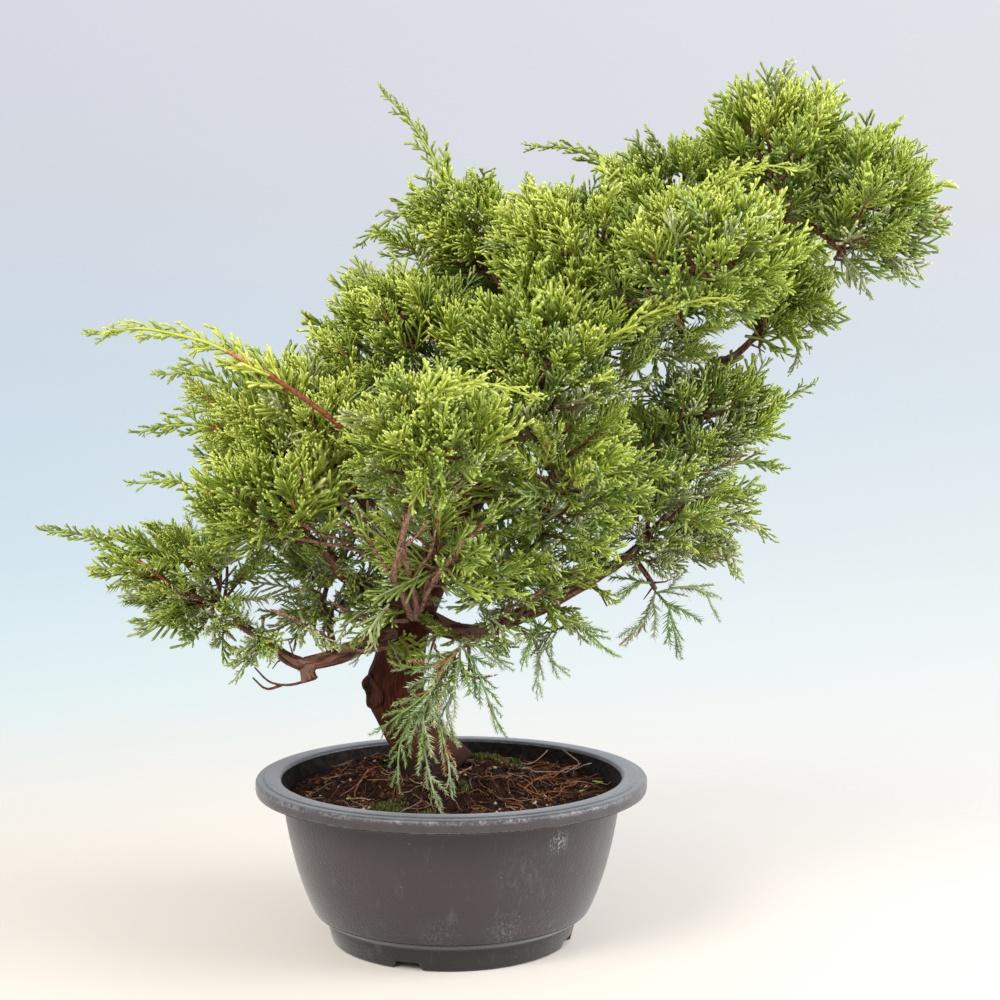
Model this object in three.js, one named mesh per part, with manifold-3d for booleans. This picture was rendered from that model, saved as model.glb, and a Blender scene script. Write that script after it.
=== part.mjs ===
// An itoigawa Chinese juniper, grown as an informal bonsai in a round plastic training pot.
// Units are millimetres and +Z is up. The pot stands on the plane Z = 0.
// Places are measured from the pot's axis; the last step shifts the whole plant sideways so that the
// origin lies under the middle of its outline. +X is to the right of its front, which faces -Y.

import * as THREE from "three";
import { mergeVertices } from "three/addons/utils/BufferGeometryUtils.js";
import Module from "manifold-3d";

const wasm = await Module();
wasm.setup();

// Clearance between pieces that touch.
const GAP = 0.3;

// The pot: a turned wall with a broad flat lip, a shoulder and a notched foot ring.
const POT = {
  height: 100,
  lipRadius: 120,
  lipHeight: 8.8,
  mouthRadius: 105,
  lipStepRadius: 114.8,
  lipStep: 0.6,
  shoulderRadius: 86,
  shoulderHeight: 20,
  footRadius: 74,
  wall: 2.6,
  floorTop: 8,
  floorUnderside: 5,
  segments: 36,
};
const NOTCH = { count: 4, width: 20, height: 4.5, firstTurn: -110.7, depth: 14 };
const DRAIN = { count: 4, radius: 6, ring: 48, sides: 8 };

// The soil fills the pot and rises to a flat mound under the trunk.
const SOIL = { edgeHeight: 89, moundHeight: 99, moundRadius: 44, moundSlope: 34, bump: 1.6 };

// The trunk leans left out of the pot, straightens and then sweeps up to the right.
const TRUNK = {
  path: [
    [-6, 21, 84], [-13, 20, 99], [-22, 18, 119], [-33, 13, 143], [-32, 8, 169], [-26, 5, 192], [-13, 5, 220],
    [5, 10, 256], [30, 15, 299], [58, 15, 340], [92, 15, 379], [132, 12, 411], [168, 8, 434], [186, 5, 449],
  ],
  radii: [20, 19.5, 17.5, 16.6, 15.6, 13.6, 11.2, 9.6, 8.2, 7.2, 6.2, 5, 4, 3.2],
  sides: 12,
  steps: 26,
};
// Surface roots that spread from the trunk's foot: the way each points, in degrees, and how far it swells.
const ROOTS = { turns: [12, 130, 238], swell: 0.62, rise: 15, sharpness: 5 };
// The callus round an old pruning wound on the trunk's left side.
const CALLUS = { at: [-47, 4, 151], reach: 13, swell: 0.36 };

// Boughs that show from the front. Each is one tapering limb from its parent's middle towards the mass
// that it carries: path holds the places that it passes through, and radius its radius at both ends.
const SHOWN_BOUGHS = [
  { name: "left_low_bough_inner", radius: [6.2, 4.3],
    path: [[-27, 5, 189], [-47, -10, 184], [-68, -22, 176], [-89, -30, 172]] },
  { name: "left_low_bough_outer", radius: [4.3, 3],
    path: [[-89, -30, 172], [-99, -32, 177], [-112, -33, 188], [-124, -32, 196]] },
  { name: "left_mid_bough", radius: [6, 4.2],
    path: [[-20, 5, 203], [-44, -15, 213], [-63, -30, 226], [-79, -44, 246]] },
  { name: "front_bough", radius: [4.6, 2.4],
    path: [[-24, 2, 199], [-27, -22, 211], [-33, -42, 230], [-28, -64, 258], [-20, -86, 284]] },
  { name: "right_low_bough", radius: [6.4, 2.8],
    path: [[-20, 2, 196], [12, -12, 188], [40, -20, 199], [65, -24, 211], [101, -20, 232], [118, -16, 244]] },
  { name: "right_mid_bough_inner", radius: [3, 2.2],
    path: [[126, 12, 406], [136, 6, 382], [147, 1, 362], [160, -1, 353.5]] },
  { name: "right_mid_bough_outer", radius: [2.2, 1.8],
    path: [[160, -1, 353.5], [170, -2, 355], [181, -5, 364], [188, -7, 373]] },
  { name: "hanging_front_bough", radius: [2, 1.5], path: [[10, -11, 188], [9, -27, 188], [8, -38, 184]] },
  { name: "hanging_mid_bough", radius: [2, 1.5], path: [[58, -23, 207], [60, -30, 200], [62, -36, 193]] },
  { name: "hanging_right_bough", radius: [2, 1.5],
    path: [[108, -18, 236], [116, -24, 226], [122, -28, 216]] },
];
// Boughs inside the crown. Each leaves the trunk at a share (from) of the trunk's length and runs to its
// mass; it sags below the straight line and swings aside by some millimetres on the way.
const CROWN_BOUGHS = [
  { name: "front_low_bough", to: "front_low", from: 0.283, thick: 3.6, sag: 4, swing: 3 },
  { name: "left_back_bough", to: "left_back", from: 0.318, thick: 5.2, sag: 6, swing: 5 },
  { name: "left_upper_bough", to: "left_upper", from: 0.34, thick: 5.4, sag: 8, swing: -4 },
  { name: "low_back_bough", to: "low_back", from: 0.37, thick: 4.4, sag: 5, swing: 3 },
  { name: "center_bough", to: "center", from: 0.406, thick: 4.6, sag: 3, swing: 4 },
  { name: "right_back_bough", to: "right_back", from: 0.45, thick: 4.8, sag: 7, swing: -5 },
  { name: "mid_left_bough", to: "mid_left", from: 0.465, thick: 5, sag: -6, swing: 5 },
  { name: "mid_center_bough", to: "mid_center", from: 0.535, thick: 4.6, sag: 4, swing: 3 },
  { name: "right_bough", to: "right", from: 0.545, thick: 4.4, sag: 9, swing: 3 },
  { name: "mid_back_bough", to: "mid_back", from: 0.62, thick: 4.6, sag: 6, swing: -3 },
  { name: "upper_left_bough", to: "upper_left", from: 0.645, thick: 4.4, sag: -5, swing: -4 },
  { name: "mid_upper_bough", to: "mid_upper", from: 0.72, thick: 4.2, sag: 2, swing: 3 },
  { name: "shoulder_bough", to: "shoulder", from: 0.82, thick: 4, sag: 4, swing: -3 },
  { name: "apex_left_bough", to: "apex_left", from: 0.86, thick: 3.6, sag: 0, swing: 2 },
  { name: "apex_back_bough", to: "apex_back", from: 0.93, thick: 3.6, sag: 3, swing: 3 },
  { name: "apex_right_bough", to: "apex_right", from: 0.955, thick: 3.4, sag: 3, swing: 2 },
];
// How far out of a mass's middle its bough ends, as a share of the mass's reach, and how far it tapers.
const ENTRY_SHARE = 0.74;
const BOUGH_TAPER = 0.62;
// The stub of a limb that was cut off, under the lowest point of the left low bough.
const STUB = { path: [[-84, -29, 173], [-84.5, -29.5, 168], [-82, -30, 161]], radius: [3.6, 4.2] };

// Masses of foliage. at is the middle of the mass's space and half its half-sizes, before it is leant
// by lean degrees, right side up. limb names the limb that carries it, at its tip or at a share (from) of
// its length. A shoot is long and stands out of the mass: its path, and the number and length of the
// whorls of blades on it.
const MASSES = [
  { name: "apex_top", limb: "trunk", at: [197, 0, 480], half: [57, 58, 45], lean: 0 },
  { name: "apex_right", limb: "apex_right_bough", at: [249, -5, 447], half: [49, 60, 52], lean: 0 },
  { name: "apex_back", limb: "apex_back_bough", at: [206, 96, 448], half: [62, 58, 52], lean: 0 },
  { name: "apex_left", limb: "apex_left_bough", at: [134, 8, 458], half: [56, 54, 36], lean: 18,
    shoots: [{ whorls: 5, blade: 14, path: [[104, 8, 464], [80, 9, 482], [66, 10, 485], [48, 10, 483]] }] },
  { name: "shoulder", limb: "shoulder_bough", at: [144, -66, 408], half: [62, 58, 45], lean: 15 },
  { name: "mid_upper", limb: "mid_upper_bough", at: [68, -26, 415], half: [58, 56, 42], lean: 16 },
  { name: "upper_left", limb: "upper_left_bough", at: [12, 24, 432], half: [52, 54, 36], lean: 6,
    shoots: [
      { whorls: 7, blade: 16, path: [[8, 22, 446], [-8, 21, 474], [-22, 20, 496], [-39, 20, 516]] },
      { whorls: 4, blade: 14, path: [[-10, 18, 438], [-32, 14, 440], [-45, 12, 434], [-57, 10, 424]] },
    ] },
  { name: "mid_left", limb: "mid_left_bough", at: [-27, -18, 365], half: [58, 62, 50], lean: 14 },
  { name: "mid_center", limb: "mid_center_bough", at: [54, -62, 350], half: [58, 56, 50], lean: 0 },
  { name: "mid_back", limb: "mid_back_bough", at: [42, 104, 386], half: [76, 66, 62], lean: 25 },
  { name: "upper_back", limb: "trunk", from: 0.8, at: [124, 76, 408], half: [54, 52, 44], lean: 15 },
  { name: "right_mid", limb: "right_mid_bough_outer", at: [200, -10, 390], half: [40, 38, 26], lean: 25,
    shoots: [
      { whorls: 4, blade: 13,
        path: [[196, -12, 386], [204, -16, 370], [203, -20, 358], [194, -24, 349]] },
    ] },
  { name: "center_right", limb: "trunk", from: 0.79, at: [116, -16, 370], half: [44, 42, 38], lean: 0,
    shoots: [
      { whorls: 4, blade: 16, path: [[116, -18, 364], [122, -26, 352], [114, -32, 336]] },
      { whorls: 3, blade: 15, path: [[132, -8, 380], [148, -12, 382], [162, -14, 374]] },
    ] },
  { name: "left_upper", limb: "left_upper_bough", at: [-95, -40, 316], half: [68, 62, 42], lean: -10,
    shoots: [
      { whorls: 9, blade: 18,
        path: [[-66, -52, 322], [-100, -60, 347], [-130, -61, 363], [-168, -60, 374], [-207, -58, 369]] },
      { whorls: 5, blade: 14,
        path: [[-112, -48, 328], [-142, -52, 344], [-160, -52, 347], [-174, -52, 341]] },
      { whorls: 3, blade: 12, path: [[-130, -48, 318], [-158, -50, 319], [-178, -50, 311]] },
    ] },
  { name: "left_mid", limb: "left_mid_bough", at: [-108, -66, 272], half: [60, 54, 36], lean: 0,
    shoots: [{ whorls: 3, blade: 12, path: [[-130, -64, 278], [-156, -62, 287], [-172, -60, 282]] }] },
  { name: "left_low", limb: "left_low_bough_outer", at: [-156, -20, 222], half: [68, 56, 35], lean: -22,
    shoots: [
      { whorls: 6, blade: 18,
        path: [[-180, -20, 236], [-206, -20, 247], [-226, -20, 253], [-246, -20, 254]] },
      { whorls: 4, blade: 15, path: [[-142, -30, 206], [-136, -34, 186], [-124, -34, 172]] },
    ] },
  { name: "left_low_inner", limb: "left_low_bough_inner", from: 0.72,
    at: [-84, -4, 216], half: [54, 52, 36], lean: 0 },
  { name: "left_back", limb: "left_back_bough", at: [-104, 84, 284], half: [68, 62, 56], lean: -10 },
  { name: "front", limb: "front_bough", at: [-12, -108, 306], half: [54, 48, 42], lean: 8 },
  { name: "front_low", limb: "front_low_bough", at: [-8, -78, 243], half: [50, 42, 34], lean: 0,
    shoots: [{ whorls: 4, blade: 16, path: [[-16, -66, 232], [-28, -60, 212], [-33, -58, 192]] }] },
  { name: "center", limb: "center_bough", at: [64, -54, 280], half: [52, 52, 46], lean: 0 },
  { name: "center_low", limb: "trunk", from: 0.33, at: [42, -38, 233], half: [54, 46, 33], lean: 14 },
  { name: "low_back", limb: "low_back_bough", at: [-4, 98, 290], half: [56, 58, 50], lean: 0 },
  { name: "right_back", limb: "right_back_bough", at: [104, 92, 286], half: [62, 60, 52], lean: 10 },
  { name: "right_low", limb: "right_low_bough", at: [132, -12, 261], half: [55, 54, 37], lean: 20 },
  { name: "right", limb: "right_bough", at: [158, 8, 316], half: [52, 52, 36], lean: 14,
    shoots: [{ whorls: 5, blade: 14, path: [[180, 8, 316], [204, 9, 327], [223, 10, 339]] }] },
  { name: "hanging_front", limb: "hanging_front_bough",
    shoots: [
      { whorls: 6, blade: 22,
        path: [[8, -37, 184], [4, -52, 172], [-4, -60, 146], [-14, -62, 122], [-22, -60, 108]] },
      { whorls: 5, blade: 22,
        path: [[5, -50, 174], [8, -60, 160], [4, -68, 140], [0, -71, 118], [-2, -70, 100]] },
      { whorls: 3, blade: 18, path: [[7, -43, 180], [22, -48, 172], [30, -52, 158], [34, -54, 140]] },
    ] },
  { name: "hanging_mid", limb: "hanging_mid_bough",
    shoots: [
      { whorls: 4, blade: 16, path: [[62, -36, 193], [72, -46, 190], [84, -52, 187], [95, -54, 178]] },
      { whorls: 4, blade: 16, path: [[63, -39, 191], [62, -48, 182], [58, -54, 173], [54, -56, 160]] },
      { whorls: 4, blade: 16, path: [[62, -38, 192], [52, -50, 190], [44, -59, 187], [36, -64, 178]] },
    ] },
  { name: "hanging_right", limb: "hanging_right_bough",
    shoots: [
      { whorls: 4, blade: 15, path: [[122, -28, 216], [123, -32, 206], [119, -33, 198], [110, -33, 188]] },
      { whorls: 3, blade: 15, path: [[123, -31, 210], [130, -34, 204], [134, -35, 196], [134, -35, 184]] },
      { whorls: 4, blade: 15, path: [[122, -29, 214], [138, -33, 213], [154, -36, 211], [166, -36, 204]] },
    ] },
];

// Foliage: how much of each mass is its solid heart, how lumpy that is, how many of its faces rise in tufts
// and how high, and how far apart the sprigs are that stand out of it.
const CORE_SHARE = 0.78;
const CORE_LUMPS = 0.12;
const LARGE_MASS = 46.5;
const TUFT_SHARE = 0.56;
const TUFT_REACH = [0.95, 1.08];
const SPRIG_SPACING = 112;
const SPRIG_REACH = 1.12;
const SPRIG = { rootShare: 0.6, whorls: 2, blade: 14 };
const CELL_MARGIN = 0.2;
// Shoots and sprigs are three-sided twigs with whorls of blades, which lean forwards by the share LEAN.
const TWIG_RADIUS = [1.9, 0.9];
const TWIG_TWIST = 40;
const LEAN = 0.74;
const STEM_RADIUS = 3;
const GOLDEN_TURN = Math.PI * (3 - Math.sqrt(5));

// A repeatable random number from 0 to 1 for the nth draw of a seed.
function chance(n, seed) {
  const wave = Math.sin(n * 12.9898 + seed * 78.233) * 43758.5453;
  return wave - Math.floor(wave);
}

const vector = (p) => new THREE.Vector3(...p);
const radians = THREE.MathUtils.degToRad;
const smoothCurve = (path) => new THREE.CatmullRomCurve3(path.map(vector), false, "centripetal");

// A closed geometry as a solid that can be joined and cut.
function solidOf(geometry) {
  geometry.deleteAttribute("normal");
  geometry.deleteAttribute("uv");
  const merged = mergeVertices(geometry, 1e-3);
  return new wasm.Manifold(
    new wasm.Mesh({
      numProp: 3,
      vertProperties: merged.getAttribute("position").array,
      triVerts: new Uint32Array(merged.index.array),
    }),
  );
}

// A solid back as a geometry.
function geometryOf(solid) {
  const { numProp, numVert, vertProperties, triVerts } = solid.getMesh();
  const position = new Float32Array(numVert * 3);
  for (let i = 0; i < numVert; i++) {
    position.set(vertProperties.subarray(i * numProp, i * numProp + 3), i * 3);
  }
  const geometry = new THREE.BufferGeometry();
  geometry.setAttribute("position", new THREE.BufferAttribute(position, 3));
  geometry.setIndex(new THREE.BufferAttribute(triVerts, 1));
  return geometry;
}

// The largest piece of a solid: a cut can leave loose scraps.
function largestOf(solid) {
  return solid.decompose().reduce((best, piece) => (piece.volume() > best.volume() ? piece : best));
}

// A bar bent along a smooth path. radiusAt gives the radius for a share of the length, the place on
// the path and the direction outwards, so that a limb can taper, flare and swell.
function bentBar(path, radiusAt, sides, steps) {
  const curve = smoothCurve(path);
  const frames = curve.computeFrenetFrames(steps, false);
  const bar = new THREE.CylinderGeometry(1, 1, 1, sides, steps);
  const position = bar.getAttribute("position");
  const corner = new THREE.Vector3();
  for (let i = 0; i < position.count; i++) {
    corner.fromBufferAttribute(position, i);
    const share = corner.y + 0.5;
    const step = Math.round(share * steps);
    const middle = curve.getPointAt(share);
    const outward = new THREE.Vector3()
      .addScaledVector(frames.binormals[step], corner.x)
      .addScaledVector(frames.normals[step], corner.z);
    const place = middle.clone().addScaledVector(outward, radiusAt(share, middle, outward));
    position.setXYZ(i, place.x, place.y, place.z);
  }
  return solidOf(bar);
}

// A limb that tapers evenly. With grow, it is that much larger all round.
function limb(path, [start, end], grow = 0) {
  const curve = smoothCurve(path);
  const length = curve.getLength();
  const points = path.map(vector);
  if (grow) {
    points[0].addScaledVector(curve.getTangentAt(0), -grow);
    points.at(-1).addScaledVector(curve.getTangentAt(1), grow);
  }
  const sides = start > 4 ? 6 : 5;
  const steps = Math.max(2, Math.round(length / 18));
  return bentBar(
    points.map((p) => p.toArray()),
    (share) => start + (end - start) * share + grow,
    sides,
    steps,
  );
}

// The trunk, with its root flare and callus, cut flat on the mound.
function trunkSolid(grow = 0) {
  const { path, radii, sides, steps } = TRUNK;
  const curve = smoothCurve(path);
  const ground = SOIL.moundHeight + GAP;
  const callus = vector(CALLUS.at);
  const radiusAt = (share, middle, outward) => {
    const station = curve.getUtoTmapping(share) * (radii.length - 1);
    const below = Math.min(radii.length - 2, Math.floor(station));
    const plain = radii[below] + (radii[below + 1] - radii[below]) * (station - below);
    const height = Math.max(0, middle.z - ground);
    const turn = Math.atan2(outward.y, outward.x);
    const lobe = ROOTS.turns.reduce((most, root) => {
      const facing = Math.max(0, Math.cos(turn - radians(root)));
      return Math.max(most, facing ** ROOTS.sharpness);
    }, 0);
    const flare = ROOTS.swell * lobe * Math.exp(-height / ROOTS.rise);
    const surface = middle.clone().addScaledVector(outward, plain);
    const fromCallus = surface.distanceTo(callus) / CALLUS.reach;
    const swell = CALLUS.swell * Math.exp(-(fromCallus ** 2));
    return plain * (1 + flare + swell) + grow;
  };
  const points = path.map(vector);
  if (grow) points.at(-1).addScaledVector(curve.getTangentAt(1), grow);
  const whole = bentBar(points.map((p) => p.toArray()), radiusAt, sides, steps);
  return whole.trimByPlane([0, 0, 1], ground - grow);
}

// The pot's turned wall and floor, with notches in its foot ring and drain holes in its floor.
function potSolid() {
  const p = POT;
  const lipUnderside = p.height - p.lipHeight;
  const outside = [
    [p.footRadius, 0], [p.footRadius + 3.4, 14], [p.shoulderRadius - 1.5, 17.6],
    [p.shoulderRadius, p.shoulderHeight], [93.5, 38], [100.6, 66], [104.4, lipUnderside],
    [p.lipRadius - 0.6, lipUnderside], [p.lipRadius, lipUnderside + 0.8], [p.lipRadius, p.height - 1.8],
    [p.lipRadius - 1.6, p.height - p.lipStep], [p.lipStepRadius, p.height - p.lipStep],
    [p.lipStepRadius - 0.8, p.height], [p.mouthRadius, p.height],
  ];
  const inside = [
    [100.6 - p.wall, 68], [93.5 - p.wall, 38], [p.shoulderRadius - p.wall, p.shoulderHeight + 1],
    [p.footRadius + 1, 14.6], [p.footRadius - 2, p.floorTop],
  ];
  const underside = [[p.footRadius - 3.4, p.floorUnderside], [p.footRadius - 4, 0]];
  const profile = [...outside, ...inside, [0, p.floorTop], [0, p.floorUnderside], ...underside, outside[0]]
    .map(([r, z]) => new THREE.Vector2(r, z));
  const turned = new THREE.LatheGeometry(profile, p.segments).rotateX(Math.PI / 2);
  let pot = solidOf(turned);

  for (let i = 0; i < NOTCH.count; i++) {
    const notch = new THREE.BoxGeometry(NOTCH.depth, NOTCH.width, NOTCH.height * 2)
      .translate(p.footRadius - 1, 0, 0)
      .rotateZ(radians(NOTCH.firstTurn + (i * 360) / NOTCH.count));
    pot = pot.subtract(solidOf(notch));
  }
  for (let i = 0; i < DRAIN.count; i++) {
    const drain = new THREE.CylinderGeometry(DRAIN.radius, DRAIN.radius, 20, DRAIN.sides)
      .rotateX(Math.PI / 2)
      .translate(DRAIN.ring, 0, p.floorTop)
      .rotateZ(radians(45 + (i * 360) / DRAIN.count));
    pot = pot.subtract(solidOf(drain));
  }
  return pot;
}

// How high the soil stands at a place: flat on the mound, then falling unevenly to the wall.
function soilHeight(x, y) {
  const fromTrunk = Math.hypot(x - TRUNK.path[1][0], y - TRUNK.path[1][1]);
  const away = THREE.MathUtils.smoothstep(fromTrunk, SOIL.moundRadius, SOIL.moundRadius + SOIL.moundSlope);
  const bump = (chance(Math.round(x * 3), Math.round(y * 3)) - 0.5) * 2 * SOIL.bump;
  return SOIL.moundHeight + (SOIL.edgeHeight - SOIL.moundHeight + bump) * away;
}

// The soil: a turned body that fits the pot's inside, with its top face raised to the soil's height.
function soilSolid() {
  const p = POT;
  const topRadius = 100.2;
  const rings = 5;
  const top = Array.from({ length: rings }, (_, i) => [topRadius * (1 - i / rings), SOIL.edgeHeight]);
  const profile = [
    [0, p.floorTop + GAP], [p.footRadius - 3, p.floorTop + GAP], [p.footRadius, 15.2],
    [p.shoulderRadius - p.wall - 1, p.shoulderHeight + 1.6], [93.5 - p.wall - 0.8, 38.3],
    [100.6 - p.wall - 0.8, 68], ...top, [0, SOIL.edgeHeight],
  ].map(([r, z]) => new THREE.Vector2(r, z));
  const body = new THREE.LatheGeometry(profile, 26).rotateX(Math.PI / 2);
  const position = body.getAttribute("position");
  for (let i = 0; i < position.count; i++) {
    if (position.getZ(i) > SOIL.edgeHeight - 1) {
      const [x, y] = [position.getX(i), position.getY(i)].map((place) => Math.round(place * 10) / 10);
      position.setZ(i, soilHeight(x, y));
    }
  }
  return solidOf(body);
}

// Turns a vector from the plant's frame into a leaning mass's own frame.
const intoMass = (mass, v) => v.clone().applyAxisAngle(new THREE.Vector3(0, 1, 0), radians(mass.lean));

// How far the space of a mass reaches from its middle in a direction: to its own rounded outline, or
// to the plane that parts it from a neighbour.
function reachOf(mass, direction, masses) {
  const scaled = intoMass(mass, direction).divide(vector(mass.half));
  const outline = 1 / scaled.length();
  let nearest = Infinity;
  for (const other of masses) {
    if (other === mass) continue;
    const apart = vector(other.at).sub(vector(mass.at));
    const along = direction.dot(apart) / apart.length();
    if (along <= 1e-6) continue;
    const toPlane = (apart.lengthSq() + meanHalf(mass) ** 2 - meanHalf(other) ** 2) / (2 * apart.length());
    nearest = Math.min(nearest, (toPlane - CELL_MARGIN) / along);
  }
  return { outline, nearest, reach: Math.min(outline * SPRIG_REACH, nearest) };
}

const meanHalf = (mass) => Math.cbrt(mass.half[0] * mass.half[1] * mass.half[2]);

// Whether every corner of a solid is on a mass's own side of the planes that part it from its neighbours.
function keepsToSpace(solid, mass, masses) {
  const { numProp, numVert, vertProperties } = solid.getMesh();
  for (let i = 0; i < numVert; i++) {
    const corner = vector(vertProperties.subarray(i * numProp, i * numProp + 3)).sub(vector(mass.at));
    const { nearest } = reachOf(mass, corner.clone().normalize(), masses);
    if (corner.length() > nearest) return false;
  }
  return true;
}

// The dense heart of a mass: a lumpy ball that fills the middle of its space. Some of its faces rise to a
// point, as the tufts of short foliage do that cover it.
function coreSolid(mass, masses, seed) {
  const large = meanHalf(mass) > LARGE_MASS;
  const ball = large ? new THREE.OctahedronGeometry(1, 3) : new THREE.IcosahedronGeometry(1, 1);
  ball.deleteAttribute("normal");
  ball.deleteAttribute("uv");
  const round = mergeVertices(ball, 1e-3);
  const directions = Array.from({ length: round.getAttribute("position").count }, (_, i) =>
    new THREE.Vector3().fromBufferAttribute(round.getAttribute("position"), i).normalize(),
  );
  const middle = vector(mass.at);
  const corners = directions.map((direction, i) => {
    const { outline, reach } = reachOf(mass, direction, masses);
    const lump = 1 + CORE_LUMPS * (chance(i, seed) - 0.5) * 2;
    return middle.clone().addScaledVector(direction, Math.min(outline * CORE_SHARE * lump, reach));
  });
  const faces = [];
  for (let i = 0; i < round.index.count; i += 3) {
    const [a, b, c] = [0, 1, 2].map((k) => round.index.getX(i + k));
    const weights = [0, 1, 2].map((k) => 0.6 + chance(i + k, seed + 0.3));
    const direction = new THREE.Vector3()
      .addScaledVector(directions[a], weights[0])
      .addScaledVector(directions[b], weights[1])
      .addScaledVector(directions[c], weights[2])
      .normalize();
    const { outline, reach } = reachOf(mass, direction, masses);
    const rises = chance(i, seed + 0.7) < TUFT_SHARE && reach > outline * CORE_SHARE * 1.1;
    if (rises) {
      const height = Math.min(outline * THREE.MathUtils.lerp(...TUFT_REACH, chance(i, seed + 0.9)), reach);
      const point = corners.push(middle.clone().addScaledVector(direction, height)) - 1;
      faces.push(a, b, point, b, c, point, c, a, point);
    } else {
      faces.push(a, b, c);
    }
  }
  const core = new THREE.BufferGeometry().setFromPoints(corners);
  core.setIndex(faces);
  return solidOf(core);
}

// A twig of foliage: three-sided and tapering, with whorls of three blades. Each blade is a face of the twig
// that rises to a point, leaning forwards.
function twigSolid({ path, whorls, blade }) {
  const curve = smoothCurve(path);
  const steps = whorls * 2;
  const frames = curve.computeFrenetFrames(steps, false);
  const corners = [];
  const ring = (step, side) => step * 3 + (side % 3);
  for (let step = 0; step <= steps; step++) {
    const share = step / steps;
    const radius = THREE.MathUtils.lerp(...TWIG_RADIUS, share);
    for (let side = 0; side < 3; side++) {
      const turn = radians(side * 120 + Math.floor(step / 2) * TWIG_TWIST);
      corners.push(
        curve
          .getPointAt(share)
          .addScaledVector(frames.normals[step], radius * Math.cos(turn))
          .addScaledVector(frames.binormals[step], radius * Math.sin(turn)),
      );
    }
  }
  const faces = [0, 2, 1, ring(steps, 0), ring(steps, 1), ring(steps, 2)];
  for (let step = 0; step < steps; step++) {
    for (let side = 0; side < 3; side++) {
      const face = [ring(step, side), ring(step, side + 1), ring(step + 1, side + 1), ring(step + 1, side)];
      if (step % 2 === 0) {
        const foot = face.reduce((sum, i) => sum.addScaledVector(corners[i], 0.25), new THREE.Vector3());
        const outward = foot.clone().sub(curve.getPointAt((step + 0.5) / steps)).normalize();
        const length = blade * (1.1 - (0.4 * step) / steps);
        const point = foot
          .addScaledVector(curve.getTangentAt((step + 0.5) / steps), length * LEAN)
          .addScaledVector(outward, length * Math.sqrt(1 - LEAN * LEAN));
        const tip = corners.push(point) - 1;
        faces.push(...face.flatMap((corner, i) => [corner, face[(i + 1) % 4], tip]));
      } else {
        faces.push(face[0], face[1], face[2], face[0], face[2], face[3]);
      }
    }
  }
  const twig = new THREE.BufferGeometry().setFromPoints(corners);
  twig.setIndex(faces);
  return solidOf(twig);
}

// The short sprigs that stand out of a mass where it is open, evenly spread by the golden angle.
function sprigsOf(mass, masses, seed) {
  const count = Math.round((4 * Math.PI * meanHalf(mass) ** 2) / SPRIG_SPACING ** 2);
  const middle = vector(mass.at);
  const sprigs = [];
  for (let k = 0; k < count; k++) {
    const level = 1 - (2 * (k + 0.5)) / count;
    const turn = k * GOLDEN_TURN + seed;
    const ring = Math.sqrt(1 - level * level);
    const direction = new THREE.Vector3(ring * Math.cos(turn), ring * Math.sin(turn), level);
    const { outline, nearest } = reachOf(mass, direction, masses);
    if (nearest < outline * SPRIG_REACH) continue;
    const [root, between, tip] = [SPRIG.rootShare, 0.85, SPRIG_REACH].map((share) =>
      middle.clone().addScaledVector(direction, outline * share),
    );
    between.z += outline * 0.05;
    const path = [root, between, tip].map((p) => p.toArray());
    sprigs.push(twigSolid({ path, whorls: SPRIG.whorls, blade: SPRIG.blade }));
  }
  return sprigs.filter((sprig) => keepsToSpace(sprig, mass, masses));
}

// The short stem by which a mass sits on its limb: it starts in the limb and ends in the core.
function stemSolid(mass, carrier) {
  const start = smoothCurve(carrier.path).getPointAt(mass.from ?? 1);
  const radius = mass.from ? STEM_RADIUS : carrier.tipRadius;
  return limb([start.toArray(), mass.at], [radius, radius * 0.6]);
}

// The path of a bough inside the crown, from the trunk's middle to just inside its mass.
function crownPath({ from, sag, swing }, mass) {
  const start = smoothCurve(TRUNK.path).getPointAt(from);
  const middle = vector(mass.at);
  const inward = middle.clone().sub(start);
  const length = inward.length();
  inward.normalize();
  const { outline } = reachOf(mass, inward.clone().negate(), []);
  const end = middle.clone().addScaledVector(inward, -Math.min(ENTRY_SHARE * outline, 0.6 * length));
  const side = new THREE.Vector3(0, 0, 1).cross(inward).normalize();
  const between = [1, 2].map((third) => {
    const swung = third === 1 ? swing : -swing / 2;
    const place = start.clone().lerp(end, third / 3).addScaledVector(side, swung);
    place.z -= third === 1 ? sag : sag * 0.8;
    return place.toArray();
  });
  return [start.toArray(), ...between, end.toArray()];
}

// All limbs, cut clear of each other in order, and the same limbs grown by the clearance.
const limbs = [{ name: "trunk", path: TRUNK.path, solid: trunkSolid(), grown: trunkSolid(GAP) }];
limbs[0].tipRadius = TRUNK.radii.at(-1);
const boughs = [
  ...SHOWN_BOUGHS,
  ...CROWN_BOUGHS.map((bough) => ({
    name: bough.name,
    path: crownPath(bough, MASSES.find((mass) => mass.name === bough.to)),
    radius: [bough.thick, bough.thick * BOUGH_TAPER],
  })),
];
for (const { name, path, radius } of boughs) {
  const earlier = wasm.Manifold.union(limbs.map((l) => l.grown));
  let solid = limb(path, radius);
  let grown = limb(path, radius, GAP);
  if (name === "left_low_bough_inner") {
    solid = solid.add(limb(STUB.path, STUB.radius));
    grown = grown.add(limb(STUB.path, STUB.radius, GAP));
  }
  limbs.push({ name, path, tipRadius: radius[1], solid: largestOf(solid.subtract(earlier)), grown });
}
const allLimbs = wasm.Manifold.union(limbs.map((l) => l.grown));

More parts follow.
